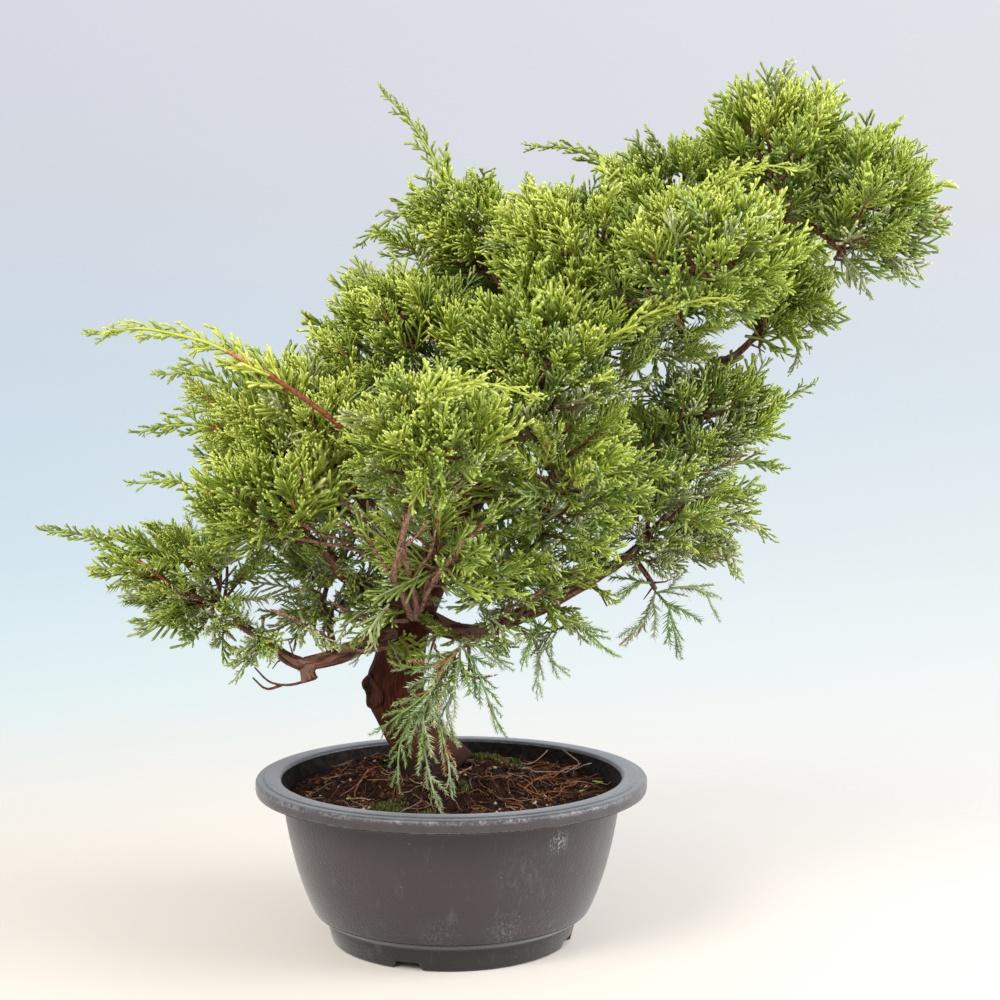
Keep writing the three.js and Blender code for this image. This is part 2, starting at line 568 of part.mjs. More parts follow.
// One mass of foliage: its stem, core, sprigs and shoots in one piece, clear of every limb.
function massSolid(mass, index, crown) {
  const seed = index + 1;
  const carrier = limbs.find((l) => l.name === mass.limb);
  const parts = [];
  if (mass.at) {
    parts.push(stemSolid(mass, carrier), coreSolid(mass, crown, seed));
    parts.push(...sprigsOf(mass, crown, seed).filter((sprig) => sprig.intersect(allLimbs).isEmpty()));
  }
  parts.push(...(mass.shoots ?? []).map(twigSolid));
  return largestOf(wasm.Manifold.union(parts).subtract(allLimbs));
}

const BARK = new THREE.MeshStandardMaterial({ color: 0x6e4030, roughness: 0.9, metalness: 0 });
const FOLIAGE = new THREE.MeshStandardMaterial({ color: 0x7fa03c, roughness: 0.7, metalness: 0 });
const HANGING_FOLIAGE = new THREE.MeshStandardMaterial({ color: 0x6f8f5c, roughness: 0.75, metalness: 0 });
const POT_PLASTIC = new THREE.MeshStandardMaterial({ color: 0x4a4749, roughness: 0.6, metalness: 0 });
const SOIL_MIX = new THREE.MeshStandardMaterial({ color: 0x3b2418, roughness: 1, metalness: 0 });

const plant = new THREE.Group();
function addPiece(name, solid, material) {
  const mesh = new THREE.Mesh(geometryOf(solid), material);
  mesh.name = name;
  plant.add(mesh);
}

addPiece("pot", potSolid(), POT_PLASTIC);
addPiece("soil", soilSolid(), SOIL_MIX);
for (const { name, solid } of limbs) addPiece(name, solid, BARK);
const crown = MASSES.filter((mass) => mass.at);
MASSES.forEach((mass, index) => {
  const material = mass.at ? FOLIAGE : HANGING_FOLIAGE;
  addPiece(`${mass.name}_foliage`, massSolid(mass, index, crown), material);
});

// Centre the whole outline over the origin.
const outline = new THREE.Box3().setFromObject(plant);
const middle = outline.getCenter(new THREE.Vector3());
plant.position.set(-middle.x, -middle.y, 0);

export default plant;
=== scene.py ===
# %% [markdown]
# # A slanting juniper in its training pot
# The plant is a Chinese juniper of the fine-leaved Itoigawa kind, grown as a bonsai. Its trunk leans out
# of a round plastic pot and sweeps up to the right under a dense crown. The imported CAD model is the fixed
# frame: every piece made here stands where its solid stands, and takes its place in the picture.

import math

import bpy
import numpy as np
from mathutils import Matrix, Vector


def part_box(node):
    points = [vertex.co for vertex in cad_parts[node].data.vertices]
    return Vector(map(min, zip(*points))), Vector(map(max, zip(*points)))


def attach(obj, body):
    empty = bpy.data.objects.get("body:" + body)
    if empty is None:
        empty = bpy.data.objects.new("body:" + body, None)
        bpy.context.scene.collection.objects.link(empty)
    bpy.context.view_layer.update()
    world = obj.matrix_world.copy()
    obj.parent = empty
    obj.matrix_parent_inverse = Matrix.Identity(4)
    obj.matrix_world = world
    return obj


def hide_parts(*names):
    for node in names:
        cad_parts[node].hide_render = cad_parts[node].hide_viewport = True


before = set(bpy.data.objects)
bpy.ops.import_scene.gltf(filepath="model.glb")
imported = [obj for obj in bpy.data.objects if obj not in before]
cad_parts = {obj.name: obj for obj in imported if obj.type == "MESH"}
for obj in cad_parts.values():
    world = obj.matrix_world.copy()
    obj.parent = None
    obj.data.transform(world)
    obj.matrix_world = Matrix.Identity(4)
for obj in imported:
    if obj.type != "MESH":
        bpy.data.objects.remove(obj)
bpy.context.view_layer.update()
print("solids in the frame:", len(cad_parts))

# %% [markdown]
# ## Sizes and places
# The plant is measured in millimetres from the pot's axis, as its solids are. The frame's origin lies
# under the middle of the whole outline instead, so one function moves and scales every list of corners.

# %% Millimetres from the pot's axis, and metres in the frame
MM = 0.001
pot_low, pot_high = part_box("pot")
AXIS = np.array([(pot_low.x + pot_high.x) / 2, (pot_low.y + pot_high.y) / 2, 0.0])


def in_frame(places):
    return np.asarray(places, float) * MM + AXIS


def unit(vectors):
    vectors = np.asarray(vectors, float)
    return vectors / np.maximum(np.linalg.norm(vectors, axis=-1, keepdims=True), 1e-12)


def look_along(holder, direction):
    """Turns a camera or a lamp, which look along their own -Z."""
    holder.rotation_mode = "QUATERNION"
    holder.rotation_quaternion = direction.to_track_quat("-Z", "Y")


print("pot axis in millimetres:", np.round(AXIS / MM, 2))

# %% [markdown]
# ## The camera
# A long lens from about a metre away, a little above the middle of the tree and tilted down by three
# degrees, gives the ellipses of the pot's lip and foot that the picture shows.

# %% Camera
CAMERA_PLACE = [0, -1042.6, 328.2]
CAMERA_TURN, CAMERA_TILT = math.radians(1.63), math.radians(3.29)
SENSOR_WIDTH, FOCAL_LENGTH = 36, 61.49
camera = bpy.data.objects.new("camera", bpy.data.cameras.new("camera"))
bpy.context.scene.collection.objects.link(camera)
camera.data.sensor_width, camera.data.lens = SENSOR_WIDTH, FOCAL_LENGTH
camera.data.clip_start, camera.data.clip_end = 0.05, 30
camera.location = in_frame(CAMERA_PLACE)
look_along(camera, Vector((math.sin(CAMERA_TURN) * math.cos(CAMERA_TILT),
                           math.cos(CAMERA_TURN) * math.cos(CAMERA_TILT), -math.sin(CAMERA_TILT))))
bpy.context.scene.camera = camera
print("camera at", [round(x, 3) for x in camera.location])

# %% [markdown]
# ## Tools for materials
# Colours are written as sRGB hex values and turned to linear light by one function. Another function adds
# a node with its settings and what feeds it, so a material reads as a short list of steps.

# %% Colour and node helpers


def colour(hex_value):
    channels = [int(hex_value[i : i + 2], 16) / 255 for i in (1, 3, 5)]
    linear = [c / 12.92 if c <= 0.04045 else ((c + 0.055) / 1.055) ** 2.4 for c in channels]
    return (*linear, 1.0)


def add_node(tree, kind, feeds=(), **settings):
    """A shader node of a kind, with what feeds its sockets and its settings."""
    node = tree.nodes.new("ShaderNode" + kind)
    for name, value in settings.items():
        setattr(node, name, value)
    for socket, value in dict(feeds).items():
        if isinstance(value, bpy.types.NodeSocket):
            tree.links.new(value, node.inputs[socket])
        else:
            node.inputs[socket].default_value = value
    return node


def new_material(name, roughness, ior=1.45):
    material = bpy.data.materials.new(name)
    material.use_nodes = True
    shader = material.node_tree.nodes["Principled BSDF"]
    shader.inputs["Roughness"].default_value = roughness
    shader.inputs["IOR"].default_value = ior
    return material, material.node_tree, shader


def blend_colours(tree, share, first, second):
    """A colour between two others. The Mix node's colour sockets are numbers 6, 7 and 2."""
    values = [colour(c) if isinstance(c, str) else c for c in (first, second)]
    mix = add_node(tree, "Mix", {0: share, 6: values[0], 7: values[1]}, data_type="RGBA")
    return mix.outputs[2]


def own_place(tree):
    """The place on a piece, in metres from its origin, which is the frame's for all but the floor."""
    return add_node(tree, "TexCoord").outputs["Object"]


def product(tree, first, second):
    return add_node(tree, "Math", {0: first, 1: second}, operation="MULTIPLY").outputs[0]


def step_between(tree, value, low, high):
    """0 below low, 1 above high, with an even slope between."""
    return add_node(tree, "MapRange", {0: value, 1: low, 2: high}).outputs[0]


def step_colours(tree, value, low, high, first, second):
    """One colour where a value is below low, another where it is above high."""
    return blend_colours(tree, step_between(tree, value, low, high), first, second)


def noise(tree, place, size_mm, detail, stretch=(1, 1, 1)):
    """A noise pattern whose lumps are about size_mm across, stretched along an axis where asked."""
    scaled = add_node(tree, "Mapping", {0: place, 3: stretch}).outputs[0]
    scale = 1 / (size_mm * MM)
    return add_node(tree, "TexNoise", {0: scaled, 2: scale, 3: detail}).outputs[0]


def bump(tree, shader, height, depth_mm, strength, normal=None):
    feeds = {"Height": height, "Distance": depth_mm * MM, "Strength": strength}
    if normal is not None:
        feeds["Normal"] = normal
    node = add_node(tree, "Bump", feeds)
    tree.links.new(node.outputs[0], shader.inputs["Normal"])
    return node.outputs[0]


def paint(tree, shader, tint):
    tree.links.new(tint, shader.inputs["Base Color"])


print("material helpers are ready")

# %% [markdown]
# ## Tools for meshes
# Some pieces are shaped by Blender's own operators, as by hand. The plant's thousands of small parts are
# joined meshes made from arrays of corners, and their relief comes from a smooth noise worked out in code.

# %% Mesh helpers


def deselect_all():
    if bpy.context.object and bpy.context.object.mode != "OBJECT":
        bpy.ops.object.mode_set(mode="OBJECT")
    bpy.ops.object.select_all(action="DESELECT")


def finish_piece(piece, materials, replaces=()):
    """Gives a piece its materials and ties it to the frame."""
    for material in materials:
        piece.data.materials.append(material)
    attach(piece, "root")
    if replaces:
        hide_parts(*replaces)
    print(piece.name, "faces:", len(piece.data.polygons))


def mesh_from_arrays(name, corners, faces, face_slots, grain):
    """A mesh from arrays: corners in millimetres, triangles, a material slot a face, a grain a corner."""
    corners, faces = np.asarray(corners, float), np.asarray(faces, np.int32)
    mesh = bpy.data.meshes.new(name)
    mesh.vertices.add(len(corners))
    mesh.vertices.foreach_set("co", in_frame(corners).astype(np.float32).ravel())
    mesh.loops.add(faces.size)
    mesh.loops.foreach_set("vertex_index", faces.ravel())
    mesh.polygons.add(len(faces))
    mesh.polygons.foreach_set("loop_start", np.arange(len(faces), dtype=np.int32) * 3)
    mesh.update(calc_edges=True)
    layer = mesh.attributes.new("grain", "FLOAT_VECTOR", "POINT")
    layer.data.foreach_set("vector", (np.asarray(grain, float) * MM).astype(np.float32).ravel())
    piece = bpy.data.objects.new(name, mesh)
    bpy.context.scene.collection.objects.link(piece)
    mesh.polygons.foreach_set("material_index", np.asarray(face_slots, np.int32))
    mesh.polygons.foreach_set("use_smooth", np.ones(len(faces), bool))
    return piece


def hashed(ix, iy, iz, seed):
    """A number from 0 to 1 for each cell of a grid, the same each time."""
    wave = np.sin(ix * 12.9898 + iy * 78.233 + iz * 37.719 + seed * 4.581) * 43758.5453
    return wave - np.floor(wave)


def lumps(places, size, seed):
    """Smooth noise from -1 to 1 whose lumps are about size across."""
    scaled = np.asarray(places, float) / size
    cell = np.floor(scaled)
    share = scaled - cell
    share = share * share * (3 - 2 * share)
    total = np.zeros(scaled.shape[:-1])
    for dx in (0, 1):
        for dy in (0, 1):
            for dz in (0, 1):
                weight = np.ones(scaled.shape[:-1])
                for axis, step in enumerate((dx, dy, dz)):
                    weight = weight * (share[..., axis] if step else 1 - share[..., axis])
                total += weight * hashed(cell[..., 0] + dx, cell[..., 1] + dy, cell[..., 2] + dz, seed)
    return total * 2 - 1


print("mesh helpers are ready")

# %% [markdown]
# ## Floor and light
# The plant stands on a plain pale floor that fades into the background, in soft studio light: one large
# lamp high on the left, a weaker one on the right, and a pale surround that is cream below the horizon and
# blue-grey above it.

# %% Floor
FLOOR_RADIUS, FLOOR_LEVEL = 1.4, -0.4
# In metres from the middle: the paint fades from its most at the first to nothing at the second, and the
# disc under the pot's foot is opaque, with a soft edge between the last two.
FADE_START, FADE_END, FLOOR_SHOWN, FOOT_INSIDE, FOOT_OUTSIDE = 0.14, 0.6 * FLOOR_RADIUS, 0.75, 0.0735, 0.0765
deselect_all()
bpy.ops.mesh.primitive_circle_add(vertices=96, radius=FLOOR_RADIUS, fill_type="NGON",
                                  location=in_frame([0, 0, FLOOR_LEVEL]))
floor = bpy.context.object
floor.name = "floor"
floor_paint, tree, shader = new_material("floor_matt_paint", 0.9)
shader.inputs["Base Color"].default_value = colour("#ddd5ca")
place = own_place(tree)
from_middle = add_node(tree, "VectorMath", {0: place}, operation="LENGTH").outputs["Value"]
shown = add_node(tree, "MapRange", {0: from_middle, 1: FADE_END, 2: FADE_START, 4: FLOOR_SHOWN},
                 interpolation_type="SMOOTHSTEP").outputs[0]
under_pot = step_between(tree, from_middle, FOOT_OUTSIDE, FOOT_INSIDE)
shown = add_node(tree, "Math", {0: shown, 1: under_pot}, operation="MAXIMUM").outputs[0]
tree.links.new(shown, shader.inputs["Alpha"])
floor.data.materials.append(floor_paint)
print("floor radius in metres:", FLOOR_RADIUS)

# %% Surround and lamps
world = bpy.data.worlds.new("surround")
bpy.context.scene.world = world
world.use_nodes = True
tree = world.node_tree
place = add_node(tree, "TexCoord").outputs["Generated"]
way = add_node(tree, "SeparateXYZ", {0: place}).outputs
height = way["Z"]
# Height of the way looked in, as the Z of a unit vector, and the colour seen there.
SURROUND = [(-0.34, "#fbf3e9"), (-0.25, "#f8f4ec"), (-0.19, "#ecf3f1"), (-0.156, "#e3f1f4"),
            (-0.12, "#dbecf3"), (-0.087, "#d5e5ed"), (-0.016, "#cfdfeb"), (0.05, "#cfdae5"),
            (0.12, "#d3d8e1"), (0.22, "#d7d9e4")]
lowest, highest = SURROUND[0][0], SURROUND[-1][0]
ramp = add_node(tree, "ValToRGB", {0: step_between(tree, height, lowest, highest)})
for i, (level, tint) in enumerate(SURROUND):
    share = (level - lowest) / (highest - lowest)
    stops = ramp.color_ramp.elements
    stop = stops[0] if i == 0 else stops[len(stops) - 1] if share == 1 else stops.new(share)
    stop.position = share
    stop.color = colour(tint)
low = add_node(tree, "Math", {0: step_between(tree, height, 0.0, -0.2), 1: 0.38, 2: 0.27},
               operation="MULTIPLY_ADD").outputs[0]
lighter = product(tree, step_between(tree, way["X"], -0.25, 0.3), low)
background = tree.nodes["Background"]
tree.links.new(blend_colours(tree, lighter, ramp.outputs[0], "#fffdfa"), background.inputs[0])
background.inputs[1].default_value = 1.0
CROWN_MIDDLE = [30, 0, 300]


def add_lamp(name, place_mm, size, watts, tint):
    lamp = bpy.data.lights.new(name, "AREA")
    lamp.size, lamp.energy, lamp.color = size, watts, colour(tint)[:3]
    holder = bpy.data.objects.new(name, lamp)
    bpy.context.scene.collection.objects.link(holder)
    holder.location = in_frame(place_mm)
    look_along(holder, Vector(in_frame(CROWN_MIDDLE)) - holder.location)


add_lamp("key_lamp", [-1200, -1500, 1550], 1.0, 50, "#fffaf0")
add_lamp("side_lamp", [1600, -400, 900], 1.2, 40, "#f6f8ff")
bpy.context.scene.view_settings.view_transform = "Standard"
print("lamps:", len(bpy.data.lights))

# %% [markdown]
# ## The pot
# A training pot is injection moulded in one piece: a thin wall that swells to a shoulder, a foot ring with
# drainage notches, and a broad flat lip. On a lathe it is one profile. So one corner is extruded along
# the profile and the chain is spun round the pot's axis; boxes and bars then cut the notches and drains.

# %% Profile of the pot
# From the middle of its underside, out, up and in again to the middle of its floor. Each corner is its
# radius, its height and how much of it is rounded off, in millimetres.
POT_PROFILE = [
    (0, 5, 0), (70.6, 5, 1), (70, 0, 0.5), (74, 0, 0.8), (77.4, 13.6, 1.5), (84.3, 17.4, 1.6),
    (86.2, 20.4, 2.5), (93.5, 38, 12), (100.6, 66, 14), (104.2, 91.2, 1.2), (119.2, 91.2, 0.9),
    (120, 92.6, 1.2), (120, 98.6, 1.4), (118.4, 99.4, 1), (115.2, 99.4, 0.3), (114.4, 100, 0.5),
    (106, 100, 1.1), (104.6, 98.6, 1.2), (102.2, 91, 4), (98, 68, 12), (90.9, 38, 12), (83.4, 21, 2.5),
    (75, 14.6, 2), (72, 8, 2), (0, 8, 0),
]


def rounded(corners):
    """The profile's corners with each one's rounding drawn as a short curve."""
    points = [Vector(c[:2]) for c in corners]
    drawn = []
    for i, (radius, height, rounding) in enumerate(corners):
        here = points[i]
        if not rounding:
            drawn.append(here)
            continue
        start = here + (points[i - 1] - here).normalized() * rounding
        end = here + (points[i + 1] - here).normalized() * rounding
        steps = 4 if rounding > 2 else 3
        for s in range(steps + 1):
            t = s / steps
            drawn.append(start * (1 - t) ** 2 + here * 2 * t * (1 - t) + end * t * t)
    return drawn


pot_profile = rounded(POT_PROFILE)
print("profile corners:", len(pot_profile))

# %% Turning a profile into a round piece


def turned(name, profile, steps):
    """Extrudes one corner along a profile and spins the chain round the pot's axis."""
    deselect_all()
    bpy.ops.mesh.primitive_plane_add(size=0.01, location=in_frame([profile[0].x, 0, profile[0].y]))
    piece = bpy.context.object
    piece.name = name
    bpy.ops.object.transform_apply(location=True, rotation=True, scale=True)
    bpy.ops.object.mode_set(mode="EDIT")
    bpy.ops.mesh.select_all(action="SELECT")
    bpy.ops.mesh.merge(type="CENTER")
    for here, after in zip(profile, profile[1:]):
        step = Vector((after.x - here.x, 0, after.y - here.y)) * MM
        bpy.ops.mesh.extrude_vertices_move(TRANSFORM_OT_translate={"value": step})
    bpy.ops.mesh.select_all(action="SELECT")
    bpy.ops.mesh.spin(steps=steps, angle=math.tau, center=AXIS, axis=(0, 0, 1))
    bpy.ops.mesh.select_all(action="SELECT")
    bpy.ops.mesh.remove_doubles(threshold=0.00002)
    bpy.ops.mesh.normals_make_consistent(inside=False)
    bpy.ops.object.mode_set(mode="OBJECT")
    return piece


def cut_with(piece, cutter):
    """Takes one closed mesh out of another and drops the cutter."""
    cut = piece.modifiers.new("cut", "BOOLEAN")
    cut.operation, cut.solver, cut.object = "DIFFERENCE", "EXACT", cutter
    deselect_all()
    bpy.context.view_layer.objects.active = piece
    piece.select_set(True)
    bpy.ops.object.modifier_apply(modifier=cut.name)
    bpy.data.objects.remove(cutter)


print("turning helpers are ready")

# %% The pot's body, foot notches and drains
POT_STEPS, SHARP_EDGE = 160, math.radians(35)
# Notches: turn of the first in degrees, distance from the axis, size of the cutter, and its widths at the
# top and at the foot as shares of its size. Drains: turn of the first, distance, radius, length and place.
NOTCH_TURN, NOTCH_REACH, NOTCH_SIZE, NOTCH_TOP, NOTCH_FOOT = -110.7, 73, (14, 20, 9), 0.72, 1.22
DRAIN_TURN, DRAIN_REACH, DRAIN_RADIUS, DRAIN_LENGTH, DRAIN_LEVEL = 45, 48, 6, 20, 8
pot = turned("training_pot", pot_profile, POT_STEPS)
for i in range(4):
    turn = math.radians(NOTCH_TURN + i * 90)
    way = np.array([math.cos(turn), math.sin(turn), 0])
    deselect_all()
    bpy.ops.mesh.primitive_cube_add(size=1, location=in_frame(way * NOTCH_REACH), rotation=(0, 0, turn))
    notch = bpy.context.object
    for corner in notch.data.vertices:
        corner.co.y *= NOTCH_TOP if corner.co.z > 0 else NOTCH_FOOT
    notch.scale = [size * MM for size in NOTCH_SIZE]
    bpy.ops.object.transform_apply(location=True, rotation=True, scale=True)
    cut_with(pot, notch)
    turn = math.radians(DRAIN_TURN + i * 90)
    way = np.array([math.cos(turn) * DRAIN_REACH, math.sin(turn) * DRAIN_REACH, DRAIN_LEVEL])
    deselect_all()
    bpy.ops.mesh.primitive_cylinder_add(vertices=24, radius=DRAIN_RADIUS * MM, depth=DRAIN_LENGTH * MM,
                                        location=in_frame(way))
    drain = bpy.context.object
    bpy.ops.object.transform_apply(location=True, rotation=True, scale=True)
    cut_with(pot, drain)
deselect_all()
pot.select_set(True)
bpy.context.view_layer.objects.active = pot
bpy.ops.object.shade_smooth_by_angle(angle=SHARP_EDGE)
print("pot is", round(pot.dimensions.x / MM, 1), "mm across and", round(pot.dimensions.z / MM, 1), "high")

# %% [markdown]
# ## The pot's plastic
# The pot is polyethylene, injection moulded in a spark-eroded mould: dark warm grey, matt, with a fine
# pebble in its skin. Years outdoors have left a bluish bloom on the lip, pale rubbed edges, chalky
# specks and long faint scuffs, which are drawn by noise of different sizes.

# %% Moulded plastic of the pot
pot_plastic, tree, shader = new_material("polyethylene_moulded_weathered", 0.4, 1.5)
shader.inputs["Sheen Weight"].default_value = 0.36
shader.inputs["Sheen Roughness"].default_value = 0.4
place = own_place(tree)
height = add_node(tree, "SeparateXYZ", {0: place}).outputs["Z"]
skin = blend_colours(tree, noise(tree, place, 45, 4), "#2d2628", "#3a3233")
lip_front = blend_colours(tree, noise(tree, place, 9, 5), "#2f292b", "#4a4345")
skin = step_colours(tree, height, 0.0895, 0.0915, skin, lip_front)
bloom = blend_colours(tree, noise(tree, place, 22, 4), "#2f3336", "#505558")
skin = step_colours(tree, height, 0.0975, 0.0989, skin, bloom)
# Painted shade: the wall is painted darker towards the foot, where less light reaches it.
painted_shade_lower_wall = step_between(tree, height, 0.05, 0.018)
skin = blend_colours(tree, product(tree, painted_shade_lower_wall, 0.3), skin, "#1d191a")
# Painted shade at the foot: the foot and the rounded corner just above it are painted near black for the shade
# under the pot's body, which also takes down the light that this corner catches.
low = step_between(tree, height, 0.0235, 0.0185)
skin = blend_colours(tree, product(tree, low, 0.85), skin, "#0d0b0b")
streaks = step_between(tree, noise(tree, place, 7, 6, (1, 1, 0.25)), 0.6, 0.8)
skin = blend_colours(tree, product(tree, streaks, 0.2), skin, "#8f8986")
specks = step_between(tree, noise(tree, place, 1.6, 2), 0.7, 0.76)
scuffed = step_between(tree, noise(tree, place, 38, 2), 0.5, 0.7)
skin = blend_colours(tree, product(tree, specks, scuffed), skin, "#b5aeaa")
# Chalk along the two edges of the lip: height of the line, and half of its breadth.
worn = product(tree, step_between(tree, noise(tree, place, 1.6, 3), 0.42, 0.62),
               step_between(tree, noise(tree, place, 14, 3), 0.34, 0.6))
for level, half in ((0.0918, 0.0009), (0.0979, 0.0019)):
    line = product(tree, step_between(tree, height, level - half, level - half / 3),
                   step_between(tree, height, level + half, level + half / 3))
    skin = blend_colours(tree, product(tree, product(tree, line, worn), 0.52), skin, "#9a9694")
# Scuffs on the front: place in millimetres, reach, size of their grain, strength.
SCUFFS = [((61, -82, 77), 8.5, 1.1, 0.8), ((42, -91, 60), 24, 2.4, 0.07), ((30, -84, 26), 14, 1.2, 0.22),
          ((-8, -92, 24), 16, 1.2, 0.12)]
for at, reach, grain_size, strength in SCUFFS:
    apart = add_node(tree, "VectorMath", {0: place, 1: in_frame(at)}, operation="DISTANCE")
    away = apart.outputs["Value"]
    rubbed = product(tree, step_between(tree, away, reach * MM, 0.15 * reach * MM),
                     step_between(tree, noise(tree, place, grain_size, 4, (1, 1, 0.6)), 0.5, 0.64))
    skin = blend_colours(tree, product(tree, rubbed, strength), skin, "#b4b6ba")
paint(tree, shader, skin)
# The pebble is drawn coarser than the real 0.3 mm grain, which would be too fine to show.
pebble = noise(tree, place, 1.5, 3)
bump(tree, shader, pebble, 0.45, 0.8)
# Inside, the wall is dull and dark with soil.
pot_inside, tree, shader = new_material("polyethylene_moulded_soiled", 0.9, 1.2)
place = own_place(tree)
soiled = noise(tree, place, 4, 5)
paint(tree, shader, step_colours(tree, soiled, 0.4, 0.65, "#1b1817", "#2f2a27"))
bump(tree, shader, soiled, 0.3, 0.5)
LIP_INNER_EDGE, TURNED_INWARD = 0.0985, -0.02
inside = [face.center.z < LIP_INNER_EDGE and face.normal.xy.dot((face.center - Vector(AXIS)).xy) < TURNED_INWARD
          for face in pot.data.polygons]
finish_piece(pot, [pot_plastic, pot_inside], ["pot"])
pot.data.polygons.foreach_set("material_index", np.array(inside, np.int32))
print("faces inside the pot:", sum(inside))

# %% [markdown]
# ## The soil
# The soil is a peaty mix that has settled below the lip and is mounded round the trunk. Its body is
# turned like the pot, and its top is then lifted in code to the mound and roughened into crumbs. Loose
# crumbs, dry root fibres, fallen bits and cushions of moss lie on it.

# %% The soil's body
# Heights of the soil at the wall and on the mound, and the mound's place, flat radius and slope.
SOIL_RADIUS, SOIL_EDGE, MOUND, MOUND_PLACE, MOUND_RADIUS, MOUND_SLOPE = 100.2, 89, 99, (-13, 20), 44, 34
SOIL_RINGS, SOIL_STEPS = 70, 220
soil_profile = [Vector(c) for c in ((0, 8.3), (71, 8.3), (74, 15.2), (82.4, 21.6), (90.1, 38.3),
                                    (97.2, 68), (SOIL_RADIUS, 86))]
soil_profile += [Vector((SOIL_RADIUS * (1 - i / SOIL_RINGS), SOIL_EDGE)) for i in range(SOIL_RINGS + 1)]
soil = turned("soil_body", soil_profile, SOIL_STEPS)


def soil_level(x, y):
    """Height of the soil: flat on the mound, falling to the wall, with crumbs of two sizes."""
    x, y = np.asarray(x, float), np.asarray(y, float)
    away = np.clip((np.hypot(x - MOUND_PLACE[0], y - MOUND_PLACE[1]) - MOUND_RADIUS) / MOUND_SLOPE, 0, 1)
    away = away * away * (3 - 2 * away)
    places = np.stack([x, y, np.zeros_like(x)], -1)
    rough = 1.3 * lumps(places, 17, 1) + 1.2 * lumps(places, 6, 2) + 0.9 * lumps(places, 2.6, 3)
    return MOUND + (SOIL_EDGE - MOUND) * away + rough - 0.6


count = len(soil.data.vertices)
corners = np.zeros(count * 3, np.float32)
soil.data.vertices.foreach_get("co", corners)
corners = corners.reshape(-1, 3).astype(float)
flat = (corners - AXIS) / MM
top = flat[:, 2] > SOIL_EDGE - 0.5
corners[top, 2] = soil_level(flat[top, 0], flat[top, 1]) * MM
soil.data.vertices.foreach_set("co", corners.astype(np.float32).ravel())
soil.data.update()
print("soil stands", round(corners[:, 2].max() / MM, 1), "mm high")

# %% Peaty soil
soil_mix, tree, shader = new_material("soil_peat_crumbled", 0.95, 1.2)
place = own_place(tree)
peat = step_colours(tree, noise(tree, place, 5, 5), 0.35, 0.7, "#0f0805", "#2e1b13")
peat = step_colours(tree, noise(tree, place, 3, 4, (1, 1.6, 1)), 0.6, 0.72, peat, "#4a2819")
paint(tree, shader, peat)
bump(tree, shader, noise(tree, place, 1.4, 4), 0.9, 0.8)
soil.data.polygons.foreach_set("use_smooth", np.ones(len(soil.data.polygons), bool))
finish_piece(soil, [soil_mix], ["soil"])

# %% [markdown]
# ## Small parts from arrays
# Crumbs, fibres, twigs and cords are all bars or lumps of a few faces. A basket collects corners and faces
# with the slot of each face's material, and becomes one joined mesh at the end.

# %% A basket of small parts


class Basket:
    """Corners, triangles and material slots of many small parts that become one mesh."""

    def __init__(self):
        self.corners, self.faces, self.slots, self.grain, self.count = [], [], [], [], 0

    def add(self, corners, faces, slots, grain=None):
        corners = np.asarray(corners, float)
        faces = np.asarray(faces, np.int64)
        self.corners.append(corners)
        self.faces.append(faces + self.count)
        self.slots.append(np.broadcast_to(np.asarray(slots, np.int32), (len(faces),)))
        self.grain.append(corners if grain is None else grain)
        self.count += len(corners)

    def add_bar(self, path, radii, sides, slot, end_slot=None, share=0.5):
        """Adds a bar, with another slot past a share of its faces where one is given."""
        corners, faces = bar(path, radii, sides)
        if end_slot is not None:
            slot = np.where(np.arange(len(faces)) < share * len(faces), slot, end_slot)
        self.add(corners, faces, slot)

    def triangles(self):
        return sum(len(f) for f in self.faces)

    def piece(self, name):
        return mesh_from_arrays(name, np.vstack(self.corners), np.vstack(self.faces),
                                np.concatenate(self.slots), np.vstack(self.grain))


print("the basket is ready")

# %% Bars round a path


def side_frames(path):
    """Two unit vectors across a path at each of its points, which turn as little as they can."""
    path = np.asarray(path, float)
    tangents = unit(np.gradient(path, axis=0))
    normals = [unit(np.cross(tangents[0], [0.31, 0.2, 0.93]))]
    for tangent in tangents[1:]:
        normals.append(unit(normals[-1] - tangent * (normals[-1] @ tangent)))
    normals = np.array(normals)
    return tangents, normals, np.cross(tangents, normals)


def run_along(path):
    """The length of a path up to each of its points."""
    return np.append(0, np.cumsum(np.linalg.norm(np.diff(path, axis=0), axis=1)))


def ways_out(path, sides):
    """The directions in which a bar's sides lie round a path, and their angles."""
    _, normals, across = side_frames(path)
    angles = np.arange(sides) * math.tau / sides
    out = normals[:, None] * np.cos(angles)[None, :, None] + across[:, None] * np.sin(angles)[None, :, None]
    return out, angles


def bar(path, radii, sides):
    """Corners and faces of a closed bar round a path, with a radius, or one for each side, at each point."""
    path = np.asarray(path, float)
    out = ways_out(path, sides)[0]
    radii = np.asarray(radii, float)
    radii = radii[:, None] if radii.ndim == 1 else radii
    corners = path[:, None] + out * np.broadcast_to(radii, (len(path), sides))[..., None]
    rings = len(path)
    ring, side = np.meshgrid(np.arange(rings - 1), np.arange(sides), indexing="ij")
    a, b = ring * sides + side, ring * sides + (side + 1) % sides
    quads = np.stack([a, b, b + sides, a, b + sides, a + sides], -1).reshape(-1, 3)
    corners = corners.reshape(-1, 3)
    if sides == 3:
        last = (rings - 1) * 3
        caps = [[0, 2, 1], [last, last + 1, last + 2]]
    else:
        low, high = len(corners), len(corners) + 1
        corners = np.vstack([corners, path[:1], path[-1:]])
        last = (rings - 1) * sides
        caps = [[low, (k + 1) % sides, k] for k in range(sides)]
        caps += [[high, last + k, last + (k + 1) % sides] for k in range(sides)]
    return corners, np.vstack([quads, caps])


print("bars are ready")

